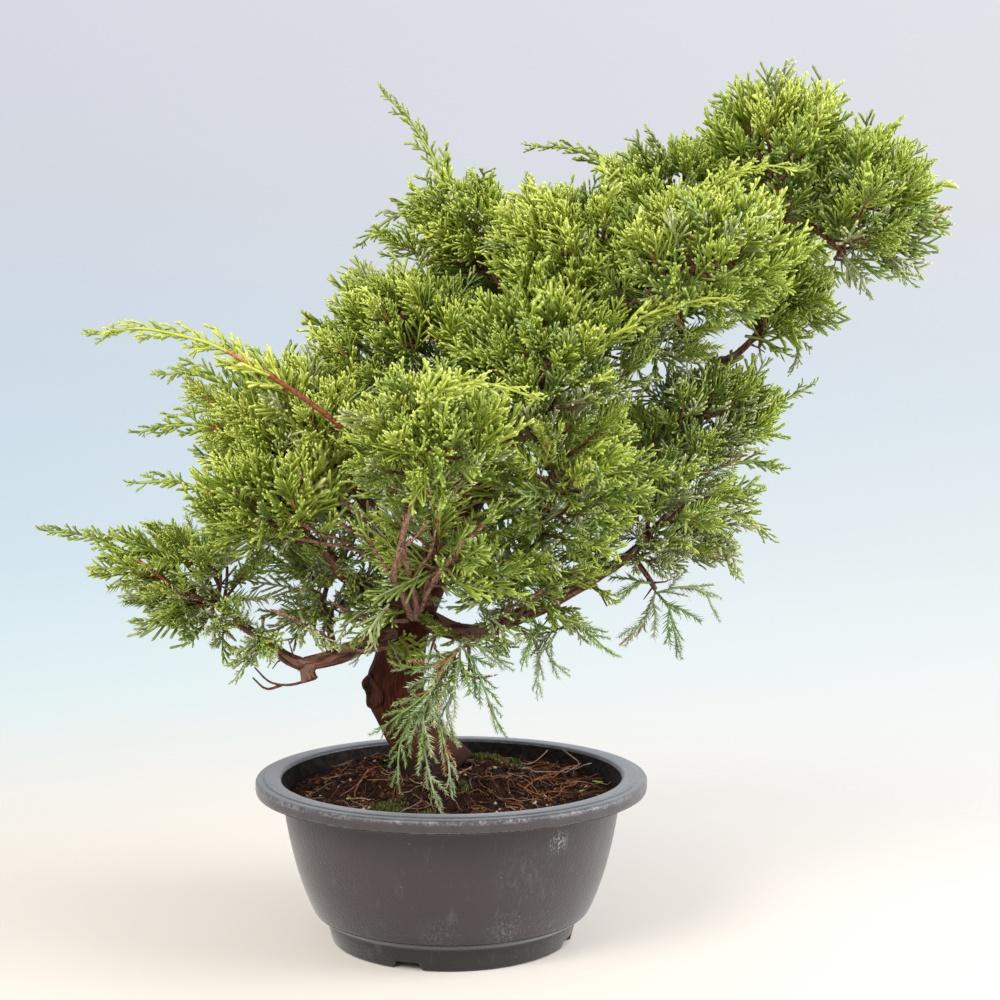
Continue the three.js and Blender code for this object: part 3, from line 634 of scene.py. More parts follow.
# %% [markdown]
# ## What lies on the soil
# Dry juniper roots are thin, rust coloured and curly, and lie in every direction; a few wiry ones rise off
# the soil on the right. Crumbs are eight-sided lumps pressed into the top. Moss is short blades in cushions.

# %% Crumbs and fibres
rng = np.random.default_rng(11)
CRUMBS, FIBRES, FALLEN_CORDS = 2600, 260, 150
# How far from the axis crumbs, fibres and moss lie, where fibres turn back, and what the trunk keeps free.
CRUMB_LIMIT, FIBRE_LIMIT, MOSS_LIMIT, TURN_BACK, TRUNK_CLEAR = 97.5, 94, 98, 98.5, 17
CRUMB_FACES = [[0, 2, 4], [2, 1, 4], [1, 3, 4], [3, 0, 4], [2, 0, 5], [1, 2, 5], [3, 1, 5], [0, 3, 5]]
CRUMB_CORNERS = np.array([[1, 0, 0], [-1, 0, 0], [0, 1, 0], [0, -1, 0], [0, 0, 1], [0, 0, -1]], float)


def on_soil(limit):
    """A random place on the soil, clear of the trunk's foot."""
    while True:
        x, y = rng.uniform(-limit, limit, 2)
        if math.hypot(x, y) < limit and math.hypot(x - MOUND_PLACE[0], y - MOUND_PLACE[1]) > TRUNK_CLEAR:
            return x, y


# Slots of the finishes further down, in their order.
PEAT_DARK, PEAT_BROWN, GRIT, ROOT_RUSTY, CORD_DRY, ROOT_GREY, CORD_GREEN, MOSS_DARK, MOSS_TIPS = range(9)
CRUMB_SLOTS, CRUMB_ODDS = [PEAT_DARK, PEAT_BROWN, GRIT], [0.6, 0.37, 0.03]
litter = Basket()
for i in range(CRUMBS):
    x, y = on_soil(CRUMB_LIMIT)
    size = rng.uniform(0.7, 1.9) if i % 9 else rng.uniform(1.6, 3.4)
    shape = CRUMB_CORNERS * rng.uniform(0.6, 1.2, (6, 1)) * size * [1, 1, 0.75]
    corners = shape + [x, y, float(soil_level(x, y)) + 0.25 * size]
    litter.add(corners, CRUMB_FACES, rng.choice(CRUMB_SLOTS, p=CRUMB_ODDS))


def fibre(x, y, length, thick, curl, rise=0.0):
    """The bar of a dry root on the soil: it wanders, follows the soil's height and may rise at its end."""
    steps = max(5, int(length / 5))
    turn = rng.uniform(0, math.tau)
    path = []
    for s in range(steps + 1):
        share = s / steps
        lift = 0.4 * thick + 1.1 * abs(math.sin(share * 5 + turn)) + rise * share * share
        path.append([x, y, float(soil_level(x, y)) + lift])
        turn += rng.uniform(-curl, curl)
        x, y = x + math.cos(turn) * length / steps, y + math.sin(turn) * length / steps
        if math.hypot(x, y) > TURN_BACK:
            turn += math.pi * 0.7
            x, y = x * 0.97, y * 0.97
    return path, thick * np.linspace(1, 0.55, len(path)), 3


for _ in range(FIBRES):
    x, y = on_soil(FIBRE_LIMIT)
    root = fibre(x, y, rng.uniform(8, 38), rng.uniform(0.2, 0.5), 0.6, rng.choice([0, 0, 3]))
    litter.add_bar(*root, rng.choice([ROOT_RUSTY, ROOT_RUSTY, PEAT_BROWN, CORD_DRY, ROOT_GREY]))
# Wiry roots that rise off the soil: where they start, their length and how far they rise.
WIRY_ROOTS = [(38, 26, 52, 9), (52, 10, 46, 7), (66, 34, 40, 12), (44, -12, 40, 4),
              (30, 48, 36, 10), (70, -8, 34, 4), (-58, -30, 38, 3), (58, -34, 44, 3)]
for x, y, length, rise in WIRY_ROOTS:
    litter.add_bar(*fibre(x, y, length, 0.75, 0.4, rise), ROOT_GREY if rise > 8 else ROOT_RUSTY)
print("litter triangles:", litter.triangles())

# %% Fallen cords and moss
for i in range(FALLEN_CORDS):
    x, y = on_soil(CRUMB_LIMIT)
    turn, length = rng.uniform(0, math.tau), rng.uniform(3, 9)
    z = float(soil_level(x, y)) + 0.7
    end = [x + math.cos(turn) * length, y + math.sin(turn) * length, z + rng.uniform(0, 1.5)]
    litter.add_bar([[x, y, z], end], [0.7, 0.35], 3, CORD_DRY if i % 12 else CORD_GREEN)
# Cushions of moss: place, radius and number of blades.
MOSS = [(22, 46, 15, 620), (41, 42, 9, 240), (-38, -52, 12, 380), (-14, -66, 6, 90), (8, -30, 5, 60)]
for x, y, radius, count in MOSS:
    for i in range(count):
        turn = rng.uniform(0, math.tau)
        away = radius * rng.uniform(0, 1) ** 0.6 * (1 + 0.3 * math.sin(3 * turn + x))
        px, py = x + math.cos(turn) * away, y + math.sin(turn) * away
        if math.hypot(px, py) > MOSS_LIMIT:
            continue
        hump = 2.4 * (1 - (away / radius) ** 2)
        foot = np.array([px, py, float(soil_level(px, py)) + hump - 0.8])
        tip = foot + [*rng.uniform(-1.1, 1.1, 2), rng.uniform(1.6, 3.2)]
        litter.add_bar([foot, tip], [0.75, 0.12], 3, MOSS_DARK if i % 4 else MOSS_TIPS)
print("litter triangles with moss:", litter.triangles())

# %% Finishes of what lies on the soil


def mottled_material(name, first, second, roughness=0.9, size=1.5):
    """A dry, matt finish that wavers between two colours, with patches about size across."""
    material, tree, shader = new_material(name, roughness, 1.25)
    place = own_place(tree)
    pattern = noise(tree, place, size, 3)
    paint(tree, shader, step_colours(tree, pattern, 0.35, 0.65, first, second))
    bump(tree, shader, pattern, 0.25, 0.6)
    return material


LITTER = [
    mottled_material("peat_crumb_dark", "#120a06", "#2b1a11"),
    mottled_material("peat_crumb_brown", "#301d13", "#4e3120"),
    mottled_material("pumice_grit_pale", "#8d7c66", "#b3a288"),
    mottled_material("root_fibre_rusty", "#56301d", "#8a5030", 0.8),
    mottled_material("fallen_foliage_dry", "#5f3c26", "#8a5f38", 0.85),
    mottled_material("root_fibre_grey_tan", "#755d49", "#9a836d", 0.8),
    mottled_material("fallen_foliage_green", "#7d9a3e", "#a3b955", 0.6),
    mottled_material("moss_living_dark", "#282c14", "#414620", 0.95),
    mottled_material("moss_living_tips", "#4a5024", "#6a6e34", 0.95),
]
finish_piece(litter.piece("soil_litter_and_moss"), LITTER)

# %% [markdown]
# ## Trunk and boughs
# A limb follows a smooth curve through the places that it passes, the same curve as its solid's, and
# tapers along it. Bars with many sides carry the bark: long fibres that run with the limb, flat plates,
# the swelling round an old pruning wound and the ridges of the surface roots.

# %% Paths of the trunk and of the boughs that show
TRUNK = [[-6, 21, 84], [-13, 20, 99], [-22, 18, 119], [-33, 13, 143], [-32, 8, 169], [-26, 5, 192],
         [-13, 5, 220], [5, 10, 256], [30, 15, 299], [58, 15, 340], [92, 15, 379], [132, 12, 411],
         [168, 8, 434], [186, 5, 449]]
TRUNK_RADII = [20, 19.5, 17.5, 16.6, 15.6, 13.6, 11.2, 9.6, 8.2, 7.2, 6.2, 5, 4, 3.2]
ROOT_TURNS, ROOT_SWELLS = [12, 130, 238], [0.3, 0.55, 0.55]
# The old pruning wound: its place, and how far off its dead wood lies, with the dead wood's half-sizes.
CALLUS, DEAD_SHIFT, DEAD_HALF = np.array([-47, 4, 151]), [-5, -1, 0], [9, 10, 13]
# Name, radius at both ends, and path.
SHOWN_BOUGHS = [
    ("left_low_bough_inner", 6.2, 4.3, [[-27, 5, 189], [-47, -10, 184], [-68, -22, 176], [-89, -30, 172]]),
    ("left_low_bough_outer", 4.3, 3, [[-89, -30, 172], [-99, -32, 177], [-112, -33, 188], [-124, -32, 196]]),
    ("left_mid_bough", 6, 4.2, [[-20, 5, 203], [-44, -15, 213], [-63, -30, 226], [-79, -44, 246]]),
    ("front_bough", 4.6, 2.4,
     [[-24, 2, 199], [-27, -22, 211], [-33, -42, 230], [-28, -64, 258], [-20, -86, 284]]),
    ("right_low_bough", 6.4, 2.8,
     [[-20, 2, 196], [12, -12, 188], [40, -20, 199], [65, -24, 211], [101, -20, 232], [118, -16, 244]]),
    ("right_mid_bough_inner", 3, 2.2, [[126, 12, 406], [136, 6, 382], [147, 1, 362], [160, -1, 353.5]]),
    ("right_mid_bough_outer", 2.2, 1.8, [[160, -1, 353.5], [170, -2, 355], [181, -5, 364], [188, -7, 373]]),
    ("hanging_front_bough", 2, 1.5, [[10, -11, 188], [9, -27, 188], [8, -38, 184]]),
    ("hanging_mid_bough", 2, 1.5, [[58, -23, 207], [60, -30, 200], [62, -36, 193]]),
    ("hanging_right_bough", 2, 1.5, [[108, -18, 236], [116, -24, 226], [122, -28, 216]]),
]
# The short stub under the left low bough: radius at both ends, and path.
STUB = (4.6, 5.2, [[-85, -29, 173], [-86, -29.5, 168], [-84.5, -30, 162]])
# Name of the mass it carries, where it leaves the trunk, radius, sag and swing in millimetres.
CROWN_BOUGHS = [
    ("front_low", 0.283, 3.6, 4, 3), ("left_back", 0.318, 5.2, 6, 5), ("left_upper", 0.34, 5.4, 8, -4),
    ("low_back", 0.37, 4.4, 5, 3), ("center", 0.406, 4.6, 3, 4), ("right_back", 0.45, 4.8, 7, -5),
    ("mid_left", 0.465, 5, -6, 5), ("mid_center", 0.535, 4.6, 4, 3), ("right", 0.545, 4.4, 9, 3),
    ("mid_back", 0.62, 4.6, 6, -3), ("upper_left", 0.645, 4.4, -5, -4), ("mid_upper", 0.72, 4.2, 2, 3),
    ("shoulder", 0.82, 4, 4, -3), ("apex_left", 0.86, 3.6, 0, 2), ("apex_back", 0.93, 3.6, 3, 3),
    ("apex_right", 0.955, 3.4, 3, 2),
]
print("limbs:", 1 + len(SHOWN_BOUGHS) + len(CROWN_BOUGHS))

# %% [markdown]
# ## The masses of foliage
# The crown is made of rounded masses, each in a space of its own: a leaning ellipsoid, cut off by the
# planes that part it from its neighbours. The same numbers shape the solids, so the dressed crown keeps
# their outline. Two further numbers set the look here: how bright a mass is, which is painted light added
# to the tints of its sprays, and how open.

# %% Spaces of the masses
# Middle, half-sizes, lean in degrees with the right side up, brightness (painted light on its sprays' tints)
# and openness.
SPACES = {
    "apex_top": ([201, 0, 478], [53, 58, 44], 0, 0, 0),
    "apex_right": ([249, -5, 446], [46, 60, 50], 0, 0.05, 0),
    "apex_back": ([206, 96, 448], [62, 58, 52], 0, 0, 0),
    "apex_left": ([134, 8, 455], [56, 54, 30], 18, 0.1, 0),
    "shoulder": ([144, -66, 408], [62, 58, 45], 15, 0.1, 0),
    "mid_upper": ([68, -26, 415], [58, 56, 42], 16, 0.45, 0),
    "upper_left": ([12, 24, 432], [52, 54, 36], 6, 0.3, 0),
    "mid_left": ([-27, -18, 365], [58, 62, 50], 14, 0.3, 0),
    "mid_center": ([54, -62, 350], [58, 56, 50], 0, 0.3, 0),
    "mid_back": ([42, 104, 386], [76, 66, 62], 25, 0, 0),
    "upper_back": ([124, 76, 408], [54, 52, 44], 15, 0, 0),
    "right_mid": ([200, -10, 390], [40, 38, 26], 25, 0, 0.3),
    "center_right": ([116, -16, 370], [44, 42, 38], 0, 0, 0.5),
    "left_upper": ([-92, -40, 315], [68, 62, 42], -10, 1.35, 0),
    "left_mid": ([-103, -66, 272], [57, 54, 36], 0, 1.0, 0.2),
    "left_low": ([-155, -20, 222], [65, 56, 34], -22, 0.3, 0.4),
    "left_low_inner": ([-84, -4, 216], [54, 52, 36], 0, 0.05, 0.5),
    "left_back": ([-104, 84, 284], [68, 62, 56], -10, 0.05, 0.1),
    "front": ([-12, -108, 306], [54, 48, 42], 8, 0.45, 0.15),
    "front_low": ([-8, -78, 243], [50, 42, 34], 0, 0.3, 0.5),
    "center": ([64, -54, 280], [52, 52, 46], 0, 0.6, 0.4),
    "center_low": ([42, -38, 233], [54, 46, 33], 14, 0.4, 0.5),
    "low_back": ([-4, 98, 290], [56, 58, 50], 0, -0.05, 0.1),
    "right_back": ([104, 92, 286], [62, 60, 52], 10, 0, 0.1),
    "right_low": ([132, -12, 261], [55, 54, 37], 20, -0.05, 0.4),
    "right": ([158, 8, 316], [52, 52, 36], 14, -0.1, 0.3),
}
# A mass is carried by the bough of its own name, at its end, but for these: limb, and share of its length.
CARRIED = {
    "apex_top": ("trunk", 1), "upper_back": ("trunk", 0.8), "center_right": ("trunk", 0.79),
    "center_low": ("trunk", 0.33), "right_mid": ("right_mid_bough_outer", 1),
    "left_low": ("left_low_bough_outer", 1), "left_low_inner": ("left_low_bough_inner", 0.72),
}
MASSES = {}
for name, (at, half, lean, bright, openness) in SPACES.items():
    limb, share = CARRIED.get(name, (name + "_bough", 1))
    MASSES[name] = {"at": np.array(at, float), "half": np.array(half, float), "lean": math.radians(lean),
                    "limb": limb, "from": share, "bright": bright, "open": openness,
                    "mean": float(np.cbrt(np.prod(half)))}


def reach_of(mass, directions, apart=True):
    """How far a mass's rounded outline and its nearest parting plane lie in each direction."""
    directions = np.atleast_2d(directions)
    cos, sin = math.cos(mass["lean"]), math.sin(mass["lean"])
    x, y, z = directions.T
    leant = np.stack([x * cos + z * sin, y, z * cos - x * sin], -1) / mass["half"]
    outline = 1 / np.linalg.norm(leant, axis=1)
    nearest = np.full(len(directions), np.inf)
    for other in MASSES.values() if apart else ():
        if other is mass:
            continue
        away = other["at"] - mass["at"]
        distance = np.linalg.norm(away)
        along = directions @ away / distance
        plane = (distance ** 2 + mass["mean"] ** 2 - other["mean"] ** 2) / (2 * distance)
        facing = along > 1e-6
        nearest[facing] = np.minimum(nearest[facing], plane / along[facing])
    return outline, nearest


print("masses:", len(MASSES), "mean half-size:", round(np.mean([m["mean"] for m in MASSES.values()]), 1), "mm")

# %% Smooth paths


def smooth_path(points, spacing=2.5):
    """Even stations on a centripetal curve through points, and where each lies among the points."""
    p = np.asarray(points, float)
    p = np.vstack([2 * p[0] - p[1], p, 2 * p[-1] - p[-2]])
    drawn, stations = [], []
    for i in range(1, len(p) - 2):
        a, b, c, d = p[i - 1 : i + 3]
        da, db, dc = (math.sqrt(np.linalg.norm(v - u)) for u, v in ((a, b), (b, c), (c, d)))
        into = ((b - a) / da - (c - a) / (da + db) + (c - b) / db) * db
        out = ((c - b) / db - (d - b) / (db + dc) + (d - c) / dc) * db
        t = np.linspace(0, 1, 60, endpoint=False)[:, None]
        drawn.append(b + into * t + (3 * (c - b) - 2 * into - out) * t**2 + (2 * (b - c) + into + out) * t**3)
        stations.append(i - 1 + t[:, 0])
    drawn = np.vstack([*drawn, p[-2:-1]])
    stations = np.append(np.concatenate(stations), len(p) - 3)
    length = run_along(drawn)
    even = np.linspace(0, length[-1], max(3, round(length[-1] / spacing) + 1))
    path = np.stack([np.interp(even, length, drawn[:, k]) for k in range(3)], -1)
    return path, np.interp(even, length, stations)


def share_of(path, share):
    """The place at a share of an evenly divided path's length."""
    place = share * (len(path) - 1)
    return np.array([np.interp(place, np.arange(len(path)), path[:, k]) for k in range(3)])


trunk_path, trunk_stations = smooth_path(TRUNK, 2.0)


def crown_path(name, share, sag, swing):
    """A bough inside the crown, from the trunk's middle to just inside its mass."""
    mass = MASSES[name]
    start = share_of(trunk_path, share)
    length = np.linalg.norm(mass["at"] - start)
    inward = (mass["at"] - start) / length
    outline = reach_of(mass, -inward, apart=False)[0][0]
    end = mass["at"] - inward * min(0.74 * outline, 0.6 * length)
    side = unit(np.cross([0, 0, 1], inward))
    first = start + (end - start) / 3 + side * swing - [0, 0, sag]
    second = start + (end - start) * 2 / 3 - side * swing / 2 - [0, 0, 0.8 * sag]
    return [start, first, second, end]


BOUGHS = {name: (start, end, smooth_path(path)[0]) for name, start, end, path in SHOWN_BOUGHS}
for name, share, thick, sag, swing in CROWN_BOUGHS:
    path = smooth_path(crown_path(name, share, sag, swing))[0]
    BOUGHS[name + "_bough"] = (thick, thick * 0.62, path)
print("longest bough:", round(max(len(b[2]) for b in BOUGHS.values()) * 2.5), "mm")

# %% A limb with bark


def bark_relief(angles, along, radius, seed):
    """Height of the bark in millimetres: long fibres, then flat plates that lift at their edges."""
    ring = np.stack([np.cos(angles) * radius, np.sin(angles) * radius, along * 0.13], -1)
    fibres = lumps(ring, 2.6, seed) + 0.6 * lumps(ring, 1.3, seed + 1)
    plates = lumps(ring * [1, 1, 2.2], 6.5, seed + 2)
    return 0.5 * fibres + 0.9 * np.abs(plates)


def limb_bar(path, radii, sides, relief, seed, radius_of=None):
    """A closed bar with bark relief, and the grain that its material follows along the limb."""
    path = np.asarray(path, float)
    out, angles = ways_out(path, sides)
    along = run_along(path)
    radii = np.repeat(np.asarray(radii, float)[:, None], sides, 1)
    grid_angles, grid_along = np.broadcast_arrays(angles[None], along[:, None])
    full = radii if radius_of is None else radius_of(path, radii, out)
    full = full + relief * (bark_relief(grid_angles, grid_along, radii, seed) - 0.45)
    corners, faces = bar(path, full, sides)
    grain = np.stack([np.cos(grid_angles) * radii, np.sin(grid_angles) * radii, grid_along], -1).reshape(-1, 3)
    ends = [[0, 0, along[0]], [0, 0, along[-1]]]
    grain = np.vstack([grain, ends]) + [seed * 37.0, 0, 0]
    return corners, faces, grain


def trunk_radius(path, radii, out):
    """The trunk's radius with its root flare and the callus round the old wound."""
    height = np.maximum(0, path[:, 2] - MOUND)[:, None]
    turn = np.arctan2(out[..., 1], out[..., 0])
    lobe = np.max([swell * np.maximum(0, np.cos(turn - math.radians(way))) ** 5
                   for way, swell in zip(ROOT_TURNS, ROOT_SWELLS)], axis=0)
    flare = lobe * np.exp(-height / 15)
    surface = path[:, None] + out * radii[..., None]
    away = np.linalg.norm(surface - CALLUS, axis=-1) / 13
    lip = 0.36 * np.exp(-(away ** 2)) - 0.34 * np.exp(-((away / 0.42) ** 2))
    knobs = 2.6 * lumps(surface, 5.5, 21) * np.exp(-((away / 0.95) ** 2))
    roots = 2.2 * lumps(surface, 8, 23) * np.exp(-height / 16)
    return radii * (1 + flare + lip) + knobs + roots


above = trunk_path[:, 2] > MOUND - 5
trunk_radii = np.interp(trunk_stations, range(len(TRUNK)), TRUNK_RADII)
TRUNK_SIDES, TRUNK_RELIEF = 72, 0.62
corners, faces, grain = limb_bar(trunk_path[above], trunk_radii[above], TRUNK_SIDES, TRUNK_RELIEF, 1,
                                 trunk_radius)
middles = corners[faces].mean(axis=1)
dead = np.linalg.norm((middles - CALLUS - DEAD_SHIFT) / DEAD_HALF, axis=1) + 0.35 * lumps(middles, 5, 12) < 1
trunk = mesh_from_arrays("trunk_bark", corners, faces, dead.astype(int), grain)
print("trunk is", round(2 * float(trunk_radii[above][8])), "mm thick at its foot")

# %% Boughs with bark


def add_limb(basket, slot, *limb):
    """Adds a limb with bark, given as limb_bar takes it."""
    corners, faces, grain = limb_bar(*limb)
    basket.add(corners, faces, slot, grain)


boughs = Basket()
# The two parts of a limb that is split at its bend are one here.
LIMBS = dict(BOUGHS)
for name in ("left_low_bough", "right_mid_bough"):
    inner, outer = LIMBS.pop(name + "_inner"), LIMBS.pop(name + "_outer")
    LIMBS[name] = (inner[0], outer[1], np.vstack([inner[2], outer[2][1:]]))
for number, (name, (start, end, path)) in enumerate(LIMBS.items()):
    radii = np.linspace(start, end, len(path))
    sides = 16 if start > 3 else 10
    knots = 1 + 0.16 * np.maximum(0, lumps(path, 11, number + 30))
    add_limb(boughs, 0, path, radii * knots, sides, min(0.75, start * 0.15), number + 2)
stub_path = smooth_path(STUB[2], 0.8)[0]
stub_radii = np.linspace(STUB[0], STUB[1], len(stub_path)) * (1 + 0.28 * lumps(stub_path, 4.5, 9))
stub_radii[-1] *= 0.7
add_limb(boughs, 0, stub_path, stub_radii, 20, 1.2, 40)
# The roll of callus lies round the old wound, wrapped on the trunk and mostly sunk in its bark.
turns = np.linspace(0, math.tau, 33)
roll_y = 1 + 7 * np.cos(turns) + 0.8 * np.sin(3 * turns)
roll_out = 20.1 - 1.5 * np.maximum(0, -np.sin(turns)) + 0.7 * np.sin(4 * turns)
roll_z = 150.5 + 9.5 * np.sin(turns) + 0.9 * np.sin(3 * turns + 2)
roll = np.stack([-33 - np.sqrt(roll_out**2 - (roll_y - 11) ** 2), roll_y, roll_z], -1)
add_limb(boughs, 1, roll, 1.9 + 0.6 * np.sin(2 * turns + 1), 14, 2.0, 41)
bough_piece = boughs.piece("boughs_bark")
print("triangles in the boughs:", boughs.triangles())

# %% [markdown]
# ## Bark
# Juniper bark peels in long strips. On the cleaned trunk it is smooth and red-brown with darker runs along
# the grain; on the boughs and older twigs the dry scales of old leaves leave it flaky and greyish pink.
# The pattern follows each limb through the grain stored in its mesh, not through the room.

# %% Bark of trunk and boughs
# Breadths of a plate of bark and of a leaf's scale on a cord, in millimetres.
PLATE, SCALE = 3.2, 1.3


def bark_material(name, dark, middle, light, roughness, flaky, soiled=False):
    """Bark along the grain: runs of two browns, fine fibres, and lifted scales as far as it is flaky."""
    material, tree, shader = new_material(name, roughness, 1.2)
    grain = add_node(tree, "Attribute", attribute_name="grain").outputs["Vector"]
    fibres = noise(tree, grain, 1.2, 4, (1, 1, 0.12))
    runs = noise(tree, grain, 9, 4, (1, 1, 0.22))
    tint = step_colours(tree, runs, 0.36, 0.64, dark, middle)
    lit = product(tree, step_between(tree, fibres, 0.48, 0.7), 0.35 + 0.5 * flaky)
    tint = blend_colours(tree, lit, tint, light)
    stretched = add_node(tree, "Mapping", {0: grain, 3: (1, 1, 0.4)}).outputs[0]
    scales = add_node(tree, "TexVoronoi", {0: stretched, 2: 1 / (PLATE * MM)}, feature="F1")
    level = add_node(tree, "SeparateXYZ", {0: scales.outputs["Color"]}).outputs["X"]
    tint = blend_colours(tree, product(tree, step_between(tree, level, 0.3, 1.0), flaky), tint, light)
    tint = step_colours(tree, fibres, 0.4, 0.3, tint, dark)
    if soiled:  # just over the soil the bark is stained by it
        height = add_node(tree, "SeparateXYZ", {0: own_place(tree)}).outputs["Z"]
        stained = step_between(tree, height, (MOUND + 20) * MM, (MOUND + 7) * MM)
        tint = blend_colours(tree, product(tree, stained, 0.9), tint, "#1b0f0a")
    paint(tree, shader, tint)
    soft = bump(tree, shader, level, 0.3 + 1.2 * flaky, 0.4 + 0.5 * flaky)
    bump(tree, shader, fibres, 0.3, 0.6, soft)
    return material


trunk_bark = bark_material("juniper_bark_peeled", "#2f150c", "#502616", "#754028", 0.7, 0.12, True)
dead_bark = bark_material("juniper_bark_dead_weathered", "#2a160e", "#4d2d1f", "#6f4b38", 0.9, 0.3)
bough_bark = bark_material("juniper_bark_flaky", "#38211a", "#6d4737", "#a9826f", 0.85, 0.6)
finish_piece(trunk, [trunk_bark, dead_bark], ["trunk"])
finish_piece(bough_piece, [bough_bark, dead_bark], list(BOUGHS))

# %% [markdown]
# ## Foliage cords
# The grown-up foliage of this juniper is not needles but cords: blunt green fingers two millimetres thick,
# wrapped in tiny scales, which fork again and again and are palest at their ends. Each finger here is a
# three-sided bar with a short point. A spray is a bent cord with fingers on alternate sides. A few sprays
# of each kind, grown by a seeded rule, are copied all over the crown.

# %% One cord
WOOD, CORD, TIP = 0, 1, 2
PRISM = [[0, 1, 4], [0, 4, 3], [1, 2, 5], [1, 5, 4], [2, 0, 3], [2, 3, 5]]


def turned_from(direction, angle, roll):
    """A direction at an angle from another one, on the side that roll gives."""
    direction = unit(direction)
    first = unit(np.cross(direction, [0.3, 0.9, 0.1] if abs(direction[1]) < 0.8 else [1, 0.1, 0.2]))
    second = np.cross(direction, first)
    return math.cos(angle) * direction + math.sin(angle) * (math.cos(roll) * first + math.sin(roll) * second)


def add_cord(shoot, places, radii, slots):
    """A three-sided bar through its places that ends in a point; one slot for each length of it."""
    turn = shoot["draw"].uniform(0, math.tau)
    direction = unit(places[-1] - places[0])
    first = unit(np.cross(direction, [0.35, 0.2, 0.91]))
    second = np.cross(direction, first)
    ring = np.array([math.cos(turn + k * math.tau / 3) * first + math.sin(turn + k * math.tau / 3) * second
                     for k in range(3)])
    corners = np.vstack([place + ring * radius for place, radius in zip(places[:-1], radii)] + [places[-1:]])
    faces, kinds = [[0, 2, 1]], [slots[0]]
    for k in range(len(radii) - 1):
        faces += [[3 * k + c for c in face] for face in PRISM]
        kinds += [slots[k]] * 6
    end = 3 * (len(radii) - 1)
    faces += [[end, end + 1, end + 3], [end + 1, end + 2, end + 3], [end + 2, end, end + 3]]
    kinds += [slots[-1]] * 3
    shoot["basket"].add(corners, faces, kinds)


def template_of(shoot):
    """The corners, faces and slots of a finished spray."""
    basket = shoot["basket"]
    return np.vstack(basket.corners), np.vstack(basket.faces), np.concatenate(basket.slots)


print("cords and their slots:", {"wood": WOOD, "cord": CORD, "tip": TIP})

# %% Sprays of cords and of needles


def middle_cord(seed, reach, bend, least, most, sway, radii):
    """Starts a spray: its middle cord along +Z, bent towards +X, with its place and slope at a share."""
    draw = np.random.default_rng(seed)
    shoot = {"basket": Basket(), "draw": draw}
    bend, sway = bend * draw.uniform(least, most), draw.uniform(-sway, sway)
    place = lambda t: np.array([bend * t * t * reach, sway * t * t * reach, t * reach])
    slope = lambda t: [2 * bend * t, 2 * sway * t, 1]
    add_cord(shoot, np.array([place(t) for t in (0, 0.4, 0.84, 1)]), radii, [CORD, CORD, TIP])
    return shoot, draw, place, slope


def spray_of_cords(seed, reach=28.0, sides=8, forks=0.7, radius=0.86, length=14, bend=0.3, angle=35):
    """A spray with forked cords to both sides."""
    radii = [0.62 * radius, 0.9 * radius, radius]
    shoot, draw, place, slope = middle_cord(seed, reach, bend, 0.7, 1.2, 0.14, radii)
    for k in range(sides):
        t = 0.14 + 0.76 * (k + draw.uniform(0.2, 0.8)) / sides
        side = 1 if k % 2 else -1
        roll = side * (math.pi / 2 + draw.uniform(-0.75, 0.5))
        way = unit(slope(t))
        across = unit(np.cross([0.0, 1.0, 0.0], way))
        out = math.cos(roll) * across + math.sin(roll) * np.cross(way, across)
        lean = math.radians(angle + draw.uniform(-8, 9))
        way = way * math.cos(lean) + out * math.sin(lean)
        size = length * (1.12 - 0.62 * t) * draw.uniform(0.82, 1.15)
        foot, thick = place(t), radius * draw.uniform(0.86, 1.06)
        end = foot + way * size + np.array([0.14, 0, 0.1]) * size
        knee = foot + (end - foot) * 0.88
        add_cord(shoot, np.array([foot, knee, end]), [0.8 * thick, thick], [CORD, TIP])
        if draw.uniform() < forks:
            at = foot + way * size * draw.uniform(0.3, 0.5)
            fork = turned_from(way, math.radians(draw.uniform(24, 38)), draw.uniform(0, math.tau))
            fork = unit(fork + [0.2, 0, 0.1])
            size *= draw.uniform(0.42, 0.58)
            add_cord(shoot, np.array([at, at + fork * size * 0.84, at + fork * size]),
                     [0.75 * thick, 0.95 * thick], [TIP if t > 0.45 else CORD, TIP])
    return template_of(shoot)


def spray_of_needles(seed, reach=28.0, needles=25, length=8.6, thick=0.78, bend=0.25):
    """A young spray: fine pointed needles on alternate sides along a thin green stem."""
    shoot, draw, place, slope = middle_cord(seed, reach, bend, 0.5, 1.3, 0.2, [0.75, 0.7, 0.55])
    for k in range(needles):
        t = 0.06 + 0.92 * (k + 0.5) / needles
        roll = (k % 2) * math.pi + draw.uniform(-0.5, 0.5) + (math.pi / 2 if k % 5 == 4 else 0)
        way = turned_from(slope(t), math.radians(draw.uniform(36, 54)), roll)
        size = length * (1.1 - 0.5 * t) * draw.uniform(0.8, 1.2)
        add_cord(shoot, np.array([place(t), place(t) + way * size]), [thick], [TIP if k % 4 == 0 else CORD])
    return template_of(shoot)


# Seeds, then reach, side cords, share that forks, radius, length, bend and angle where they differ.
SHOOTS = {
    "full": [spray_of_cords(100 + k) for k in range(8)],
    "top": [spray_of_cords(150 + k, reach=22, sides=6, forks=0.6, length=12, bend=0.12) for k in range(6)],
    "thin": [spray_of_cords(300 + k, 31, 8, 0.5, 0.82, 14, 0.22, 36) for k in range(6)],
    "side": [spray_of_cords(400 + k, 18, 4, 0.6, 0.96, 10, 0.15, 38) for k in range(6)],
    "needle": [spray_of_needles(500 + k) for k in range(6)],
}
for kind, templates in SHOOTS.items():
    print("a", kind, "spray has about", round(np.mean([len(t[1]) for t in templates])), "triangles")

# %% Copies of a spray
TINTS = ["golden", "sunlit", "green", "shaded", "olive", "dry"]
GOLDEN, SUNLIT, GREEN, SHADED, OLIVE, DRY = range(6)
ORANGE = 1 + 2 * len(TINTS)
RED = ORANGE + 1


